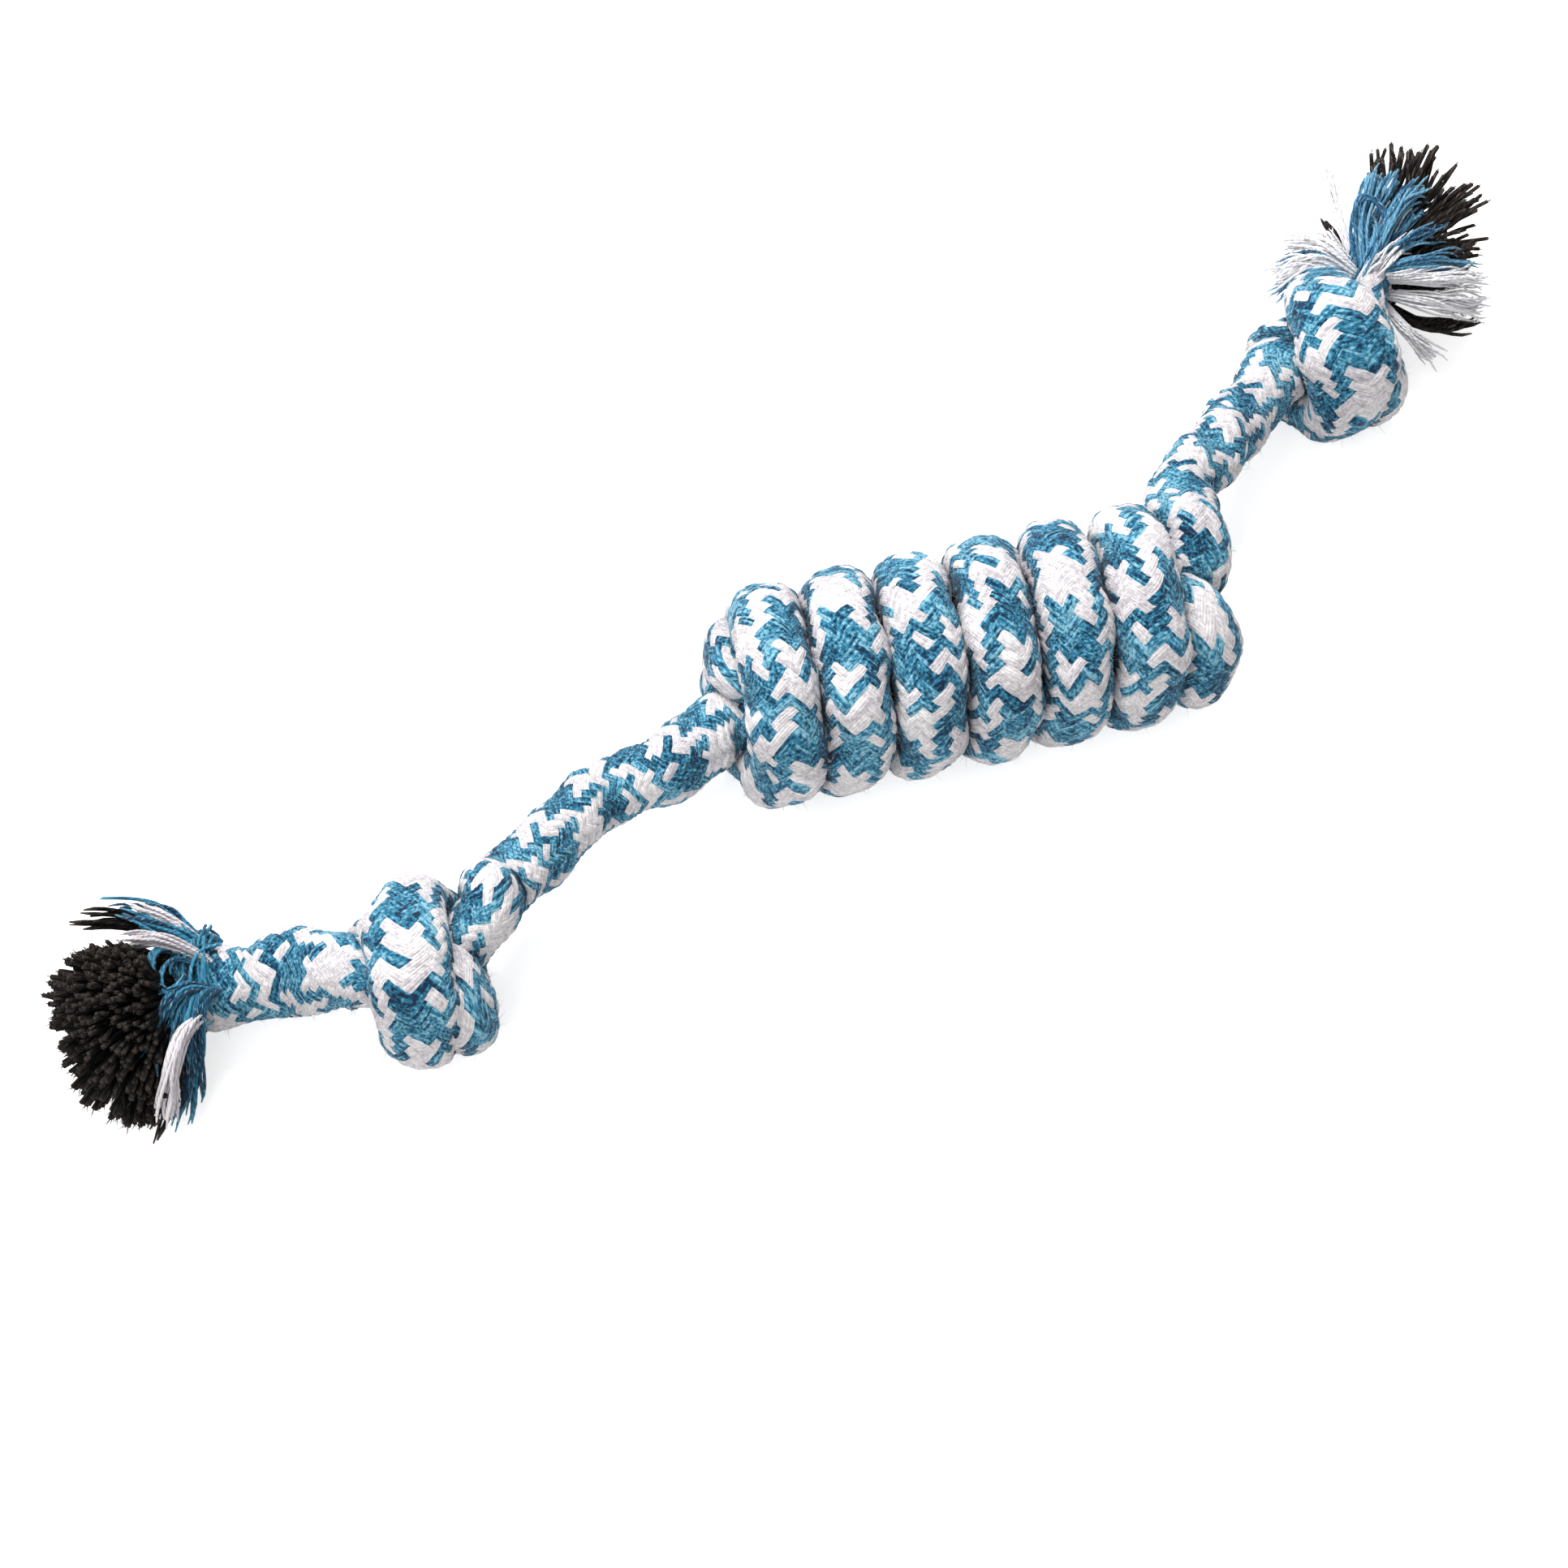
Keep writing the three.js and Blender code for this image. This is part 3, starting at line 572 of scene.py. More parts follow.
# A lighter copy of the white yarn: painted light for the right tuft's white yarns, which stand in bright
# light
litWhiteYarn = yarnMaterial("litWhiteYarn", (222, 220, 226), (244, 243, 245), *[(253, 252, 252)] * 2)
paleBlueYarn = yarnMaterial("paleBlueYarn", (16, 84, 124), (96, 160, 192), (196, 226, 238), (170, 214, 232))
fluff = yarnMaterial("fluff", (150, 175, 190), (205, 214, 220), (240, 240, 242), (245, 245, 245), 1)
darkShader = {"Roughness": 0.9, "Specular IOR Level": 0.1, "Sheen Weight": 0.0}
darkYarn = yarnMaterial("darkYarn", (2, 2, 2), (12, 10, 10), (66, 57, 54), (98, 88, 82), 9, darkShader)
greyYarn = yarnMaterial("greyYarn", (8, 7, 6), (36, 31, 29), (112, 102, 96), (136, 124, 114), 9, darkShader)
print("materials made")


# Tubes with open ends along paths (n, p, 3) with radii (n, p): each ring is the path's point plus radius
# times cosine and sine of the turn along two directions square to the path.
def tubes(paths, radii, sides, tones, power=1.0):
    count, rows = radii.shape
    along = unit(np.gradient(paths, axis=1))
    side = unit(np.cross(along, (0.31, 0.2, 0.93)))
    up = np.cross(along, side)
    turn = np.arange(sides) * (2 * math.pi / sides)
    ring = side[:, :, None] * np.cos(turn)[:, None] + up[:, :, None] * np.sin(turn)[:, None]
    points = (paths[:, :, None] + ring * radii[:, :, None, None]).reshape(-1, 3)
    grid = np.meshgrid(np.arange(count), np.arange(rows - 1), np.arange(sides), indexing="ij")
    n, r, k = (v.ravel() for v in grid)
    corner = lambda row, column: (n * rows + row) * sides + column % sides
    faces = np.stack([corner(r, k), corner(r, k + 1), corner(r + 1, k + 1), corner(r + 1, k)], 1)
    at = lambda row, column: np.stack([column / sides, (row / (rows - 1)) ** power], -1)
    uv = np.stack([at(r, k), at(r, k + 1), at(r + 1, k + 1), at(r + 1, k)], 1)
    return points, faces, uv, np.repeat(tones, rows * sides)


# Several sets of points, faces, uv and tones as one.
def joined(parts):
    points, faces, uv, tones = zip(*parts)
    sizes = np.cumsum([0] + [len(some) for some in points])
    faces = [some + size for some, size in zip(faces, sizes)]
    return [np.concatenate(column) for column in (points, faces, uv, tones)]


fuzz = {
    "perMetre": 5200, "length": (0.4, 1.9), "radius": 0.035, "taper": 0.7, "upright": 0.8, "lean": 0.6,
    "curl": 0.35, "sunk": 0.1, "lowest": 0.05,
}


# Fine fibres that stand on some of the points, leaning and curling off the normal by random vectors.
def fibres(points, normal, count):
    root = rng.integers(0, len(points), count)
    lean = unit(normal[root] * fuzz["upright"] + rng.normal(0, fuzz["lean"], (count, 3)))
    curl = rng.normal(0, fuzz["curl"], (count, 3))
    reach = rng.uniform(*fuzz["length"], count)[:, None, None]
    t = np.linspace(0, 1, 4)[None, :, None]
    foot = points[root][:, None] - normal[root][:, None] * fuzz["sunk"]
    paths = foot + reach * (lean[:, None] * t + curl[:, None] * t * t)
    paths[..., 2] = np.maximum(paths[..., 2], fuzz["lowest"])
    radii = fuzz["radius"] * (1 - fuzz["taper"] * t[..., 0]) * np.ones((count, 1))
    return tubes(paths, radii, 3, rng.random(count))


# How crowded each point is by rope that lies at least crowd's apart further along the line: 1 where that
# rope's surface touches it, 0 from reach off. It sets the painted shade in the creases between turns.
def crowding(points, length):
    others, away = line["centre"][::crowd["every"]], line["length"][::crowd["every"]]
    size = (line["wide"] + line["thick"])[::crowd["every"]] / 2
    near = np.empty(points.shape[:2])
    for i, (ring, at) in enumerate(zip(points, length)):
        square = (ring * ring).sum(1)[:, None] + (others * others).sum(1) - 2 * ring @ others.T
        ownRope = 1000 * (np.abs(away - at) < crowd["apart"])
        near[i] = (np.sqrt(np.maximum(square, 0)) - size + ownRope).min(1)
    return np.clip(1 - near / crowd["reach"], 0, 1)


# Rope between two rows: an ellipse square to the line, its cosine and sine raised to a power under 1
# where the rope is squeezed, raised by the braid's height along its own normal, with z changed to
# (z + sqrt(z z + rounding)) / 2 so that it lies flat on the ground.
def ropeSlice(name, first, last, rowStep=1, columnStep=1, fuzzy=1.0):
    rows = np.arange(first, last + 1, rowStep)
    if rows[-1] != last:
        rows = np.append(rows, last)
    columns = rope["columns"] // columnStep
    angle = np.linspace(0, 2 * math.pi, columns + 1)[None, :]
    pick = lambda key: line[key][rows][:, None]
    turn = (pick("turned") + math.pi / 2 - angle) / (2 * math.pi) + rope["phase"]
    length = pick("length")
    a = rope["yarns"] * (turn + length / rope["lead"]) + rope["drift"] * wander(turn, length, 0)
    b = rope["yarns"] * (turn - length / rope["lead"]) + rope["drift"] * wander(turn, length, 1)
    group = 2 * math.pi / rope["colours"]
    middle = rope["colours"] / 4
    lumps = np.cos((a - middle) * group) + np.cos((b - middle) * group)
    height = braidHeight(a, b) - rope["yarnHigh"] - rope["crown"] * rope["weave"]
    height = height + rope["uneven"] * wander(turn, length, 2) + rope["lumps"] * 0.5 * lumps
    wide, thick = pick("wide"), pick("thick")
    power = 1 - rope["squareness"] * pick("square")
    c, s = np.cos(angle), np.sin(angle)
    across, outward = pick("across"), pick("outward")
    slope = lambda v: np.sign(v) * np.abs(v) ** (2 - power)
    normal = unit(across * (slope(c) / wide)[..., None] + outward * (slope(s) / thick)[..., None])
    c, s = np.sign(c) * np.abs(c) ** power, np.sign(s) * np.abs(s) ** power
    points = pick("centre") + across * (c * wide)[..., None] + outward * (s * thick)[..., None]
    points = points + normal * height[..., None]
    z = points[..., 2]
    points[..., 2] = (z + np.sqrt(z * z + rope["rounding"])) / 2
    # Painted crease shade of each point, kept as its tone
    creaseShade = crowding(points[:, :-1], length[:, 0]).ravel()
    points, normal = points[:, :-1].reshape(-1, 3), normal[:, :-1].reshape(-1, 3)
    r, k = (v.ravel() for v in np.meshgrid(np.arange(len(rows) - 1), np.arange(columns), indexing="ij"))
    corner = lambda row, column: row * columns + column % columns
    faces = np.stack([corner(r, k), corner(r + 1, k), corner(r + 1, k + 1), corner(r, k + 1)], 1)
    uv = np.stack([a, b], -1)
    uv = np.stack([uv[r, k], uv[r + 1, k], uv[r + 1, k + 1], uv[r, k + 1]], 1)
    parts = [(points, faces, uv, creaseShade)]
    hairs = int(fuzz["perMetre"] * fuzzy * (last - first) * rope["step"] / 1000)
    if hairs:
        parts.append(fibres(points, normal, hairs))
    points, faces, uv, tones = joined(parts)
    which = (np.arange(len(faces)) >= len(parts[0][1])).astype(int)
    piece = newMesh(name, points * mm, faces, uv, tones, [braided, fluff], which)
    return piece


# The row at one station of a stretch, counted from either end.
def rowAt(stretch, index):
    first, last = stationOf[stretch]
    return int(line["rowOf"][first + index if index >= 0 else last + 1 + index])


# The row nearest to a bend.
def rowNear(bend):
    return int(np.argmin(((line["centre"] - bends[bend]) ** 2).sum(1)))


# Where the rope starts and ends turning at a bend: reach mm along the line either way.
def hinge(bend, towards, reach=4.5):
    row = rowNear(bend)
    way = line["along"][row] * reach * towards
    return tuple((line["centre"][row] - way) * mm), tuple((line["centre"][row] + way) * mm)


# The row midway between two bends.
def halfway(first, second):
    return (rowNear(first) + rowNear(second)) // 2


# Rows where the rope is cut into pieces
cuts = {
    "start": 0, "tail": halfway("leftTuft", "leftTail"),
    "leftFrom": rowAt("leftKnot", 0), "leftTo": rowAt("leftKnot", -1),
    "leftMid": halfway("leftKnot", "leftSpan"), "leftNear": halfway("leftSpan", "leftBarrel"),
    "from": rowAt("barrel", 0), "to": rowAt("barrel", -1),
    "rightNear": halfway("rightBarrel", "rightSpan"), "rightMid": halfway("rightSpan", "rightKnot"),
    "rightFrom": rowAt("rightKnot", 0), "rightTo": rowAt("rightKnot", -1), "end": len(line["length"]) - 1,
}


# Rope over one bend between two cuts, baked where it lies. Bodies a and b are not used.
def crossing(name, first, last, a, b, bend, towards, *nodes):
    piece = ropeSlice(name, cuts[first], cuts[last])
    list(hinge(bend, towards))
    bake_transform(piece)
    if nodes:
        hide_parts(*nodes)


# Rope between two cuts that keeps its shape, on one body.
def riding(name, first, last, body, *nodes, **how):
    piece = ropeSlice(name, cuts[first], cuts[last], **how)
    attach(piece, body)
    if nodes:
        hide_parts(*nodes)


# From the left tuft to the barrel
crossing("leftRoot", "start", "tail", "left_tail", "left_tuft", "leftTuft", -1)
crossing("leftTail", "tail", "leftFrom", "left_knot", "left_tail", "leftTail", -1,
         "left_tail_cover", "left_tail_core")
riding("leftKnotRope", "leftFrom", "leftTo", "left_knot", "left_knot")
crossing("leftSpanOuter", "leftTo", "leftMid", "left_span_2", "left_knot", "leftKnot", -1)
crossing("leftSpanMiddle", "leftMid", "leftNear", "left_span_1", "left_span_2", "leftSpan", -1,
         "left_span_2_cover", "left_span_2_core")
crossing("leftSpanInner", "leftNear", "from", "winding", "left_span_1", "leftBarrel", -1,
         "left_span_1_cover", "left_span_1_core")

# The barrel: the run under its turns, the turns in three pieces, and the run back through them
barrelCuts = {"low": 2, "turns": 6, "high": -10, "exit": -5}  # stations, counted from either end
for name, station in barrelCuts.items():
    cuts[name] = rowAt("barrel", station)
cuts["A"], cuts["B"], cuts["C"], cuts["D"] = np.linspace(cuts["turns"], cuts["high"], 4).astype(int)
riding("barrelEntry", "from", "low", "winding")
riding("barrelLowRun", "low", "A", "winding", rowStep=3, columnStep=3, fuzzy=0)
riding("barrelTurnsA", "A", "B", "winding", "winding")
riding("barrelTurnsB", "B", "C", "winding")
riding("barrelTurnsC", "C", "D", "winding")
riding("barrelHighRun", "high", "exit", "winding", rowStep=3, columnStep=3, fuzzy=0)
riding("barrelExit", "exit", "to", "winding")

# From the barrel to the right tuft
crossing("rightSpanInner", "to", "rightNear", "winding", "right_span_1", "rightBarrel", 1,
         "right_span_1_cover", "right_span_1_core")
crossing("rightSpanMiddle", "rightNear", "rightMid", "right_span_1", "right_span_2", "rightSpan", 1,
         "right_span_2_cover", "right_span_2_core")
crossing("rightSpanOuter", "rightMid", "rightFrom", "right_span_2", "right_knot", "rightKnot", 1)
riding("rightKnotRope", "rightFrom", "rightTo", "right_knot", "right_knot")
crossing("rightRoot", "rightTo", "end", "right_knot", "right_tuft", "rightTuft", 1)
print("rope pieces made")


yarnForm = {
    "rows": 12,  # points along a yarn
    "sides": 5,
    "tip": 0.4,  # share of the radius by which the closing tip stands out
    "clear": 0.2,  # mm between a yarn's underside and the ground
    "thickness": (0.8, 1.15),  # shares of the radius
    "curlTurn": (3, 8),  # radians of the slow curl along a yarn
    "profile": (0.85, 1.0, 1.05, 1.0, 0.05),  # shares of the thickness from root to tip
}
frayForm = {
    "thickness": 0.22,  # share of the yarn's radius
    "spread": 0.9, "length": (0.3, 1.0), "taper": 0.75, "sides": 4,
    "power": 0.15,  # of the place along a fibre, so that nearly all of it has the tip's colour
}
threadForm = {
    "wave": 0.15, "waveOfSpread": 0.25, "phase": (0, 6.3), "waveTurn": (3, 9),
    "length": (0.8, 1.06), "thickness": (0.85, 1.2), "taperFrom": 0.9, "tip": 0.4, "clear": 0.1,
}


# Yarns that leave a root side by side. Each yarn's tip lies in its own heading and climb from the root, at
# the outline's reach, and the yarn is a square curve from the root's axis to its tip, with a slow curl.
def fan(settings, dice):
    count, rows = settings["count"], yarnForm["rows"]
    first, last = settings["outline"][0][0], settings["outline"][-1][0]
    heading = dice.uniform(first, last, count)
    span = (heading - first) / (last - first)
    reach = np.interp(heading, *np.array(settings["outline"], float).T)
    flat = dice.random(count) ** 0.8 * np.where(dice.random(count) < settings["low"], -1, 1)
    spread = settings["spread"] * flat * np.sin(math.pi * (0.03 + 0.94 * span))
    climb = np.radians(settings["climb"] + spread)
    reach = reach * (1 - settings["dome"] * flat * flat) * dice.uniform(*settings["jagged"], count)
    heading = np.radians(heading)
    out = np.stack([np.cos(heading) * np.cos(climb), np.sin(heading) * np.cos(climb), np.sin(climb)], 1)
    root = np.array(settings["root"], float)
    middle = np.radians(settings["middle"])
    axis = np.array([math.cos(middle), math.sin(middle), math.tan(math.radians(settings["climb"]))])
    side = np.array([-math.sin(middle), math.cos(middle), 0])
    start = root + side * ((2 * span - 1) * settings["rootWide"])[:, None]
    start[:, 2] += flat * settings["rootHigh"]
    tip = root + out * reach[:, None]
    t = np.linspace(0, 1, rows - 1)[None, :, None]
    handle = (start + axis * (reach * settings["bend"])[:, None])[:, None]
    paths = start[:, None] * (1 - t) ** 2 + handle * 2 * t * (1 - t) + tip[:, None] * t * t
    phase = dice.uniform(0, 2 * math.pi, (count, 1, 3))
    size = dice.uniform(*settings["curl"], (count, 1, 1))
    curl = size * np.sin(phase + t * dice.uniform(*yarnForm["curlTurn"], (count, 1, 3)))
    paths = paths + curl * t
    beyond = unit(paths[:, -1:] - paths[:, -2:-1]) * settings["radius"] * yarnForm["tip"]
    paths = np.concatenate([paths, paths[:, -1:] + beyond], 1)
    low = settings["radius"] + yarnForm["clear"]
    paths[..., 2] = low + (paths[..., 2] - low + np.sqrt((paths[..., 2] - low) ** 2 + 1)) / 2
    stops = (0, 4, rows - 3, rows - 2, rows - 1)
    thickness = settings["radius"] * dice.uniform(*yarnForm["thickness"], (count, 1))
    return paths, thickness * np.interp(np.arange(rows), stops, yarnForm["profile"])


# Loose fibres at the yarns' ends: each goes on from near the tip, leaning off by a random vector.
def frayed(paths, radius, each, dice):
    tip = np.repeat(paths[:, -2], each, 0)
    way = unit(np.repeat(paths[:, -1] - paths[:, -3], each, 0))
    lean = unit(way + dice.normal(0, frayForm["spread"], way.shape))
    t = np.linspace(0, 1, 4)[None, :, None]
    bent = way[:, None] * t * (1 - 0.5 * t) + lean[:, None] * t * t
    ends = tip[:, None] + dice.uniform(*frayForm["length"], (len(tip), 1, 1)) * bent
    ends[..., 2] = np.maximum(ends[..., 2], yarnForm["clear"])
    return ends, radius * (1 - frayForm["taper"] * t[..., 0]) * np.ones((len(tip), 1))


# Threads round one line of points: the line is a smooth curve, each thread off it by its own offset that
# grows from spread's first to its second value, plus a slow wave.
def bundle(points, threads, spread, radius, dice):
    points = np.array(points, float)
    knots = np.concatenate([[0], np.cumsum(np.linalg.norm(np.diff(points, axis=0), axis=1))])
    t = np.linspace(0, 1, yarnForm["rows"])
    middle = splineThrough(knots, points, t * knots[-1])[None]
    off = unit(dice.normal(0, 1, (threads, 1, 3))) * np.sqrt(dice.random((threads, 1, 1)))
    width = np.interp(t, (0, 1), spread)[None, :, None]
    share = t[None, :, None]
    phase = dice.uniform(*threadForm["phase"], (threads, 1, 3))
    size = threadForm["wave"] + threadForm["waveOfSpread"] * spread[1]
    wave = size * np.sin(phase + share * dice.uniform(*threadForm["waveTurn"], (threads, 1, 3)))
    ends = dice.uniform(*threadForm["length"], (threads, 1, 1))
    stretched = middle[:, :1] + (middle - middle[:, :1]) * (1 + (ends - 1) * share ** 2)
    paths = stretched + off * width + wave * share
    paths[..., 2] = np.maximum(paths[..., 2], radius + threadForm["clear"])
    thickness = radius * dice.uniform(*threadForm["thickness"], (threads, 1))
    return paths, thickness * np.interp(t, (0, threadForm["taperFrom"], 1), (1, 1, threadForm["tip"]))


# Yarns as a piece on one body.
def yarnPiece(name, parts, material, body, node):
    points, faces, uv, tones = joined(parts)
    piece = newMesh(name, points * mm, faces, uv, tones, [material])
    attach(piece, body)
    if node:
        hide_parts(node)


# One fan of yarns with frayed ends as a piece.
def tuft(name, fanSettings, frayEach, material, body, node, seed):
    dice = np.random.default_rng(seed)
    paths, radii = fan(fanSettings, dice)
    tones = dice.random(len(paths))
    ends, fine = frayed(paths, fanSettings["radius"] * frayForm["thickness"], frayEach, dice)
    yarns = tubes(paths, radii, yarnForm["sides"], tones)
    frays = tubes(ends, fine, frayForm["sides"], dice.random(len(ends)), frayForm["power"])
    yarnPiece(name, [yarns, frays], material, body, node)


# Some bundles and fans of loose threads as a piece.
def lock(name, bundles, material, body, node, seed, radius=0.28):
    dice = np.random.default_rng(seed)
    parts = []
    for made in bundles:
        paths, radii = fan(made, dice) if isinstance(made, dict) else bundle(*made, radius, dice)
        parts.append(tubes(paths, radii, yarnForm["sides"], dice.random(len(paths))))
    yarnPiece(name, parts, material, body, node)


# The dark core yarns. An outline's rows are a heading in degrees and the yarns' reach there in mm.
leftFan = {
    "count": 800, "middle": 200, "root": (-134.2, -23.9, 8.8), "rootWide": 4.6, "rootHigh": 4.6, "climb": 8,
    "spread": 56, "low": 0.4, "dome": 0.26, "bend": 0.45, "radius": 0.48, "jagged": (0.93, 1.01),
    "curl": (0.15, 0.9),
    "outline": [(150, 14), (156, 18.4), (162, 22.8), (167, 25.6), (172, 26.9), (180, 27.4), (195, 28.4),
                (207, 29.3), (219, 30), (230, 29.6), (236, 29), (244, 26.5), (248, 23.5)],
}
rightFan = {
    "count": 210, "middle": 44, "root": (97.5, 59.4, 16), "rootWide": 4.2, "rootHigh": 4.0, "climb": -1,
    "spread": 27, "low": 0.5, "dome": 0.1, "bend": 0.4, "radius": 0.42, "jagged": (0.82, 1.02),
    "curl": (0.4, 1.4),
    "outline": [(-12, 13), (2, 18), (12, 25), (20, 28), (28, 28.6), (36, 29.2), (44, 31), (52, 32.6),
                (66, 33), (73, 32)],
}
rightBlueFan = {
    "count": 130, "middle": 62, "root": (95.6, 60.8, 19.5), "rootWide": 3.4, "rootHigh": 1.4, "climb": 9,
    "spread": 10, "low": 0.5, "dome": 0.0, "bend": 0.5, "radius": 0.23, "jagged": (0.7, 1.02),
    "curl": (0.1, 0.8),
    "outline": [(28, 17), (40, 20.5), (52, 22.5), (64, 22.5), (71, 20)],
}
rightWhiteFan = dict(rightBlueFan, count=24, jagged=(0.5, 0.95), radius=0.2)
tuft("leftDarkYarns", leftFan, 2, darkYarn, "left_tuft", "left_core_fan", 11)
tuft("rightDarkYarns", rightFan, 3, greyYarn, "right_tuft", "right_core_fan", 12)

# Loose cover yarns. A bundle is its line's points, its number of threads, and how far they spread, in mm, at
# its root and at its tip.
lock("leftBlueUp", [
    ([(-134.5, -22.1, 14), (-140.5, -17.6, 18), (-146, -13.2, 16)], 24, (1.2, 2)),
    ([(-134.5, -21.4, 14), (-139.1, -15, 17), (-143.5, -10.9, 15)], 18, (1, 1.8)),
    ([(-134.8, -19.2, 13), (-141.5, -12, 16.5), (-149.1, -9, 16)], 6, (0.3, 0.8)),
    ([(-135.4, -24.2, 15), (-142, -22.6, 20), (-143.4, -27.5, 21), (-141.7, -30.9, 20),
      (-138.8, -27.9, 18)], 6, (0.4, 0.8)),
    ([(-135.2, -25.5, 15), (-140.5, -25, 20), (-142.5, -29, 20), (-140, -31.5, 18)], 5, (0.4, 0.7)),
    ([(-133.2, -16.9, 9), (-134.6, -18.5, 14.5), (-136.1, -25.1, 16.4), (-137, -31, 13.5),
      (-136, -32, 9)], 12, (1.4, 1.8)),
    ([(-134.2, -18.2, 13), (-137.6, -21.5, 17.5), (-140.1, -27.1, 17.8), (-138, -31.3, 14)], 8, (1.2, 1.8)),
    ([(-132.9, -21.5, 15.5), (-136.6, -22.5, 17), (-139.1, -29.1, 16.8), (-140, -34.3, 13)], 8, (1.2, 2)),
    ([(-134.7, -20.8, 15), (-134, -19, 16), (-133, -17.6, 16)], 2, (0.2, 0.4)),
], blueYarn, "left_tuft", "left_blue_lock_up", 21)
lock("leftWhiteUp", [
    ([(-134.8, -23.8, 15.5), (-141.5, -20.6, 20.5), (-147.4, -18.1, 19)], 14, (0.8, 1.3)),
    ([(-134.5, -20.6, 14), (-140, -15.5, 18.4), (-145, -11.6, 17)], 12, (0.8, 1.8)),
    ([(-134, -18.6, 13), (-138.4, -14.1, 14), (-140.5, -11, 13)], 4, (0.3, 0.8)),
], whiteYarn, "left_tuft", "left_white_lock_up", 22)
lock("leftBlueDown", [
    ([(-135.6, -29.2, 13.5), (-140.1, -31.2, 19.5), (-144.3, -34.9, 18), (-147.5, -40, 13)], 38, (1.6, 3.6)),
    ([(-134.4, -28.7, 13), (-137.4, -32.7, 18), (-140, -39, 14), (-144.4, -45.4, 6)], 40, (1.6, 2.4)),
], blueYarn, "left_tuft", "left_blue_lock_down", 23)
lock("leftWhiteDown", [
    ([(-137.4, -34.2, 16), (-140.4, -38.8, 20.5), (-143.4, -43.8, 18.5), (-146, -48.3, 12)], 30,
     (1.2, 2)),
], whiteYarn, "left_tuft", "left_white_lock_down", 24)
lock("leftDarkThreads", [
    ([(-136.1, -21.4, 13), (-145.7, -14.9, 16), (-155, -12, 16)], 7, (0.6, 1.1)),
    ([(-136, -20.5, 13), (-144, -13.6, 16), (-153.5, -10.8, 16)], 5, (0.5, 0.9)),
    ([(-137.4, -30.8, 11), (-142.7, -41.2, 10), (-148.6, -47.5, 5)], 8, (0.6, 1.6)),
], darkYarn, "left_tuft", None, 25, 0.36)
lock("rightBlueUp", [
    rightBlueFan,
    ([(95, 59.9, 20), (96.3, 67.6, 25), (104.9, 80.6, 22)], 10, (1.2, 2.4)),
    ([(96.8, 60, 20.5), (101.6, 65.8, 26.5), (112.3, 74.4, 22)], 10, (1.2, 2.8)),
    ([(94.2, 58.2, 19.8), (97.4, 61.6, 23.6), (101.5, 68.5, 23)], 26, (1.8, 2.2)),
    ([(94.2, 61.3, 21), (94.6, 67.7, 25), (98.6, 71.5, 27), (101.3, 68.9, 26), (97.4, 64.1, 23)], 3,
     (0.2, 0.4)),
], paleBlueYarn, "right_tuft", "right_blue_lock_up", 31)
lock("rightBlueSide", [
    ([(97.5, 59.6, 20), (104, 57.3, 23.5), (114.5, 58.4, 18)], 34, (1, 2.4)),
    ([(97, 60.6, 20.5), (104, 61.4, 24.5), (112.5, 64.8, 21)], 18, (1, 2.2)),
], paleBlueYarn, "right_tuft", "right_blue_lock_right", 32, 0.22)
lock("rightWhiteSide", [
    ([(98, 58.6, 18.5), (105.5, 54.6, 21.5), (117.5, 56.4, 16)], 34, (0.8, 2.8)),
    ([(97.4, 58.9, 19.5), (101.5, 56.2, 22), (109.8, 57.4, 20)], 14, (0.5, 1.6)),
    ([(97.9, 57.3, 15), (100.5, 50.6, 14), (106.3, 46.4, 8)], 22, (0.6, 2.2)),
    ([(98.6, 57.4, 16), (106.7, 52, 17.5), (116.6, 52.4, 12)], 52, (0.9, 3.4)),
], litWhiteYarn, "right_tuft", "right_white_lock_right", 33, 0.2)
lock("rightWhiteUp", [
    ([(94, 61.4, 19), (94.4, 72.1, 22), (97.7, 87.9, 18)], 14, (0.5, 1.5)),
    ([(94.4, 57.4, 19.4), (98.2, 59.6, 23.4), (104.5, 63, 22)], 26, (1.8, 2.4)),
    rightWhiteFan,
    ([(93.4, 61.6, 18), (91.4, 66.8, 21), (91.7, 71.9, 19)], 7, (0.6, 1.8)),
    ([(92.4, 61.2, 17), (88.4, 64.4, 20), (86.4, 66.9, 19)], 9, (0.6, 1.8)),
], litWhiteYarn, "right_tuft", "right_white_lock_left", 34, 0.22)
lock("rightDarkThreads", [
    ([(99.3, 57.5, 13), (106.5, 51, 11), (115.2, 50.4, 10)], 16, (0.8, 2)),
    ([(93.6, 63.6, 17), (93, 71.4, 19), (92.2, 76.7, 18)], 3, (0.3, 1.2)),
    ([(92.8, 63.8, 18), (91.9, 67.9, 20), (91.5, 71.2, 20)], 3, (0.3, 0.8)),
    ([(91, 63.4, 18), (89.1, 67.6, 20), (87.6, 69, 20)], 2, (0.3, 0.8)),
], greyYarn, "right_tuft", None, 35, 0.35)
lock("rightKnotWhiteFray", [
    ([(94, 61, 19.5), (89.5, 66, 22), (84.2, 71, 18)], 24, (0.8, 3)),
    ([(93, 60, 19.5), (87.5, 63, 21.5), (80.6, 66, 16)], 24, (0.8, 3)),
], litWhiteYarn, "right_knot", None, 36, 0.22)
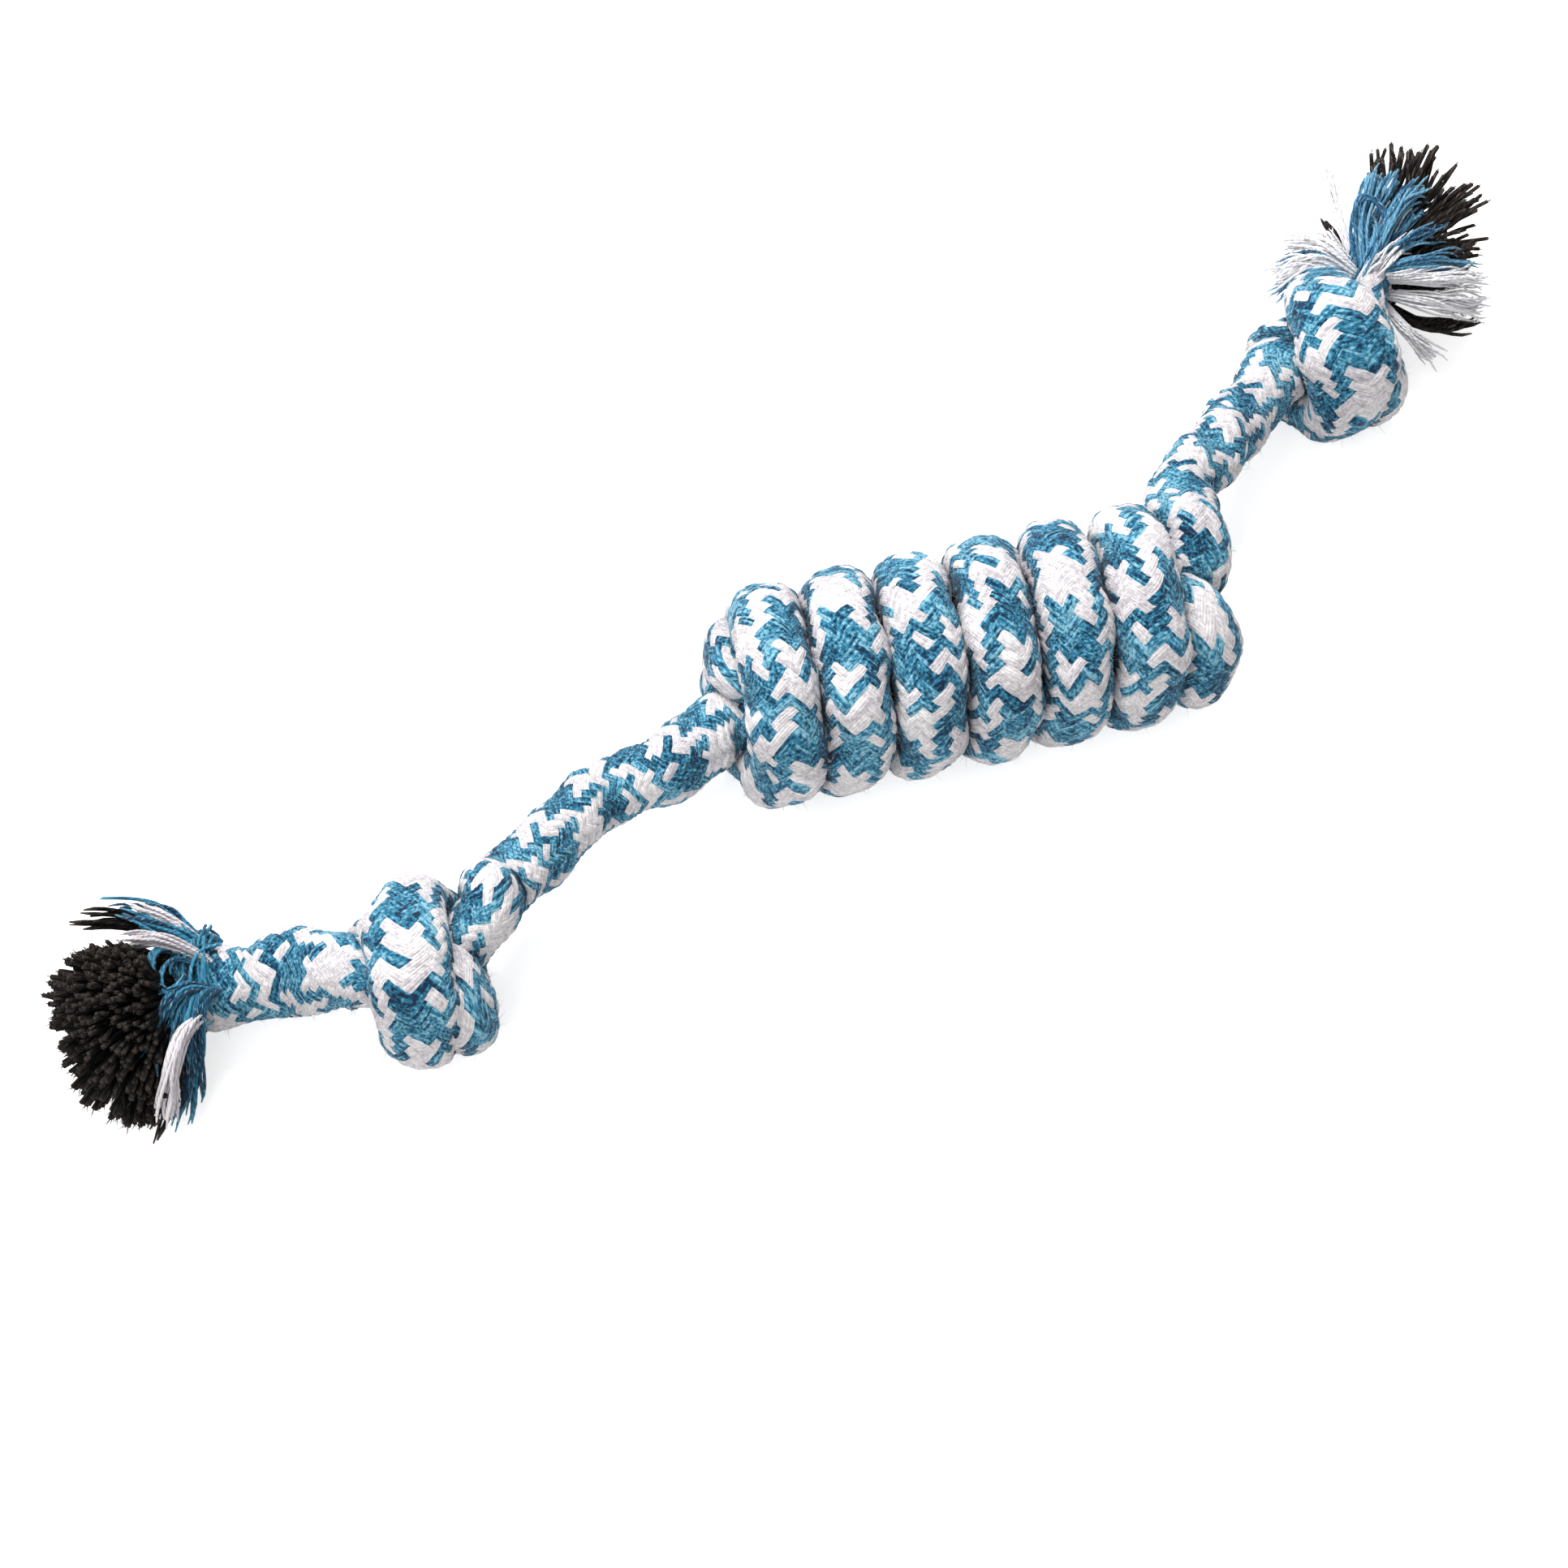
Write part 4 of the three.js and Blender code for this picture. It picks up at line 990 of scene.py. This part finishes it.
lock("rightKnotBlueFray", [
    ([(93.5, 60.5, 19), (88, 65.6, 20.5), (82.4, 69.6, 16)], 16, (0.8, 2.8)),
    ([(94.2, 60, 19), (87, 61.4, 20.5), (80.2, 62.6, 14)], 16, (0.6, 2.4)),
], paleBlueYarn, "right_knot", None, 37, 0.22)
print("tufts made")

studio = {
    "floorSize": 1.6, "floorGrey": 0.8, "floorGlow": 0.68, "ambient": 0.39,
    "key": {"place": (-0.12, 0.42, 0.76), "size": 0.5, "power": 9.2},
    "fill": {"place": (-0.45, -0.35, 0.6), "size": 0.7, "power": 2.6},
}


# A pale sheet that glows a little for the camera only, so that it is white beside the toy's soft shadow.
def addFloor(settings):
    size = settings["floorSize"]
    mesh = bpy.data.meshes.new("floor")
    corners = [(-size, -size, 0), (size, -size, 0), (size, size, 0), (-size, size, 0)]
    mesh.from_pydata(corners, [], [(0, 1, 2, 3)])
    floor = bpy.data.objects.new("floor", mesh)
    bpy.context.collection.objects.link(floor)
    level = settings["floorGrey"]
    g = Graph(bpy.data.materials.new("paleFloor"), {
        "Base Color": (level, level, level, 1), "Roughness": 0.9, "Specular IOR Level": 0.1,
        "Emission Strength": 1.0})
    glow = g.seen() * settings["floorGlow"]
    g.feed("Emission Color", g.node("ShaderNodeCombineColor", None, {0: glow, 1: glow, 2: glow}))
    mesh.materials.append(g.owner)
    floor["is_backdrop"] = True


def addLamp(name, settings):
    data = bpy.data.lights.new(name, "AREA")
    data.shape = "DISK"
    data.size = settings["size"]
    data.energy = settings["power"]
    aimed(name, data, settings["place"], (0, 0, 0))


# White where the camera looks past the floor, and a softer even light on the toy.
def addWorld(settings):
    world = bpy.data.worlds.new("studio")
    bpy.context.scene.world = world
    g = Graph(world, {"Color": (1, 1, 1, 1)}, "Background")
    strength = g.node("ShaderNodeMapRange", None, {"Value": g.seen(), "To Min": settings["ambient"]})
    g.feed("Strength", strength)


addFloor(studio)
addLamp("keyLamp", studio["key"])
addLamp("fillLamp", studio["fill"])
addWorld(studio)
bpy.context.scene.view_settings.view_transform = "Standard"
print("studio made")

sizes = {"cad": cadBox, "visual": [list(corner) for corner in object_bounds()]}
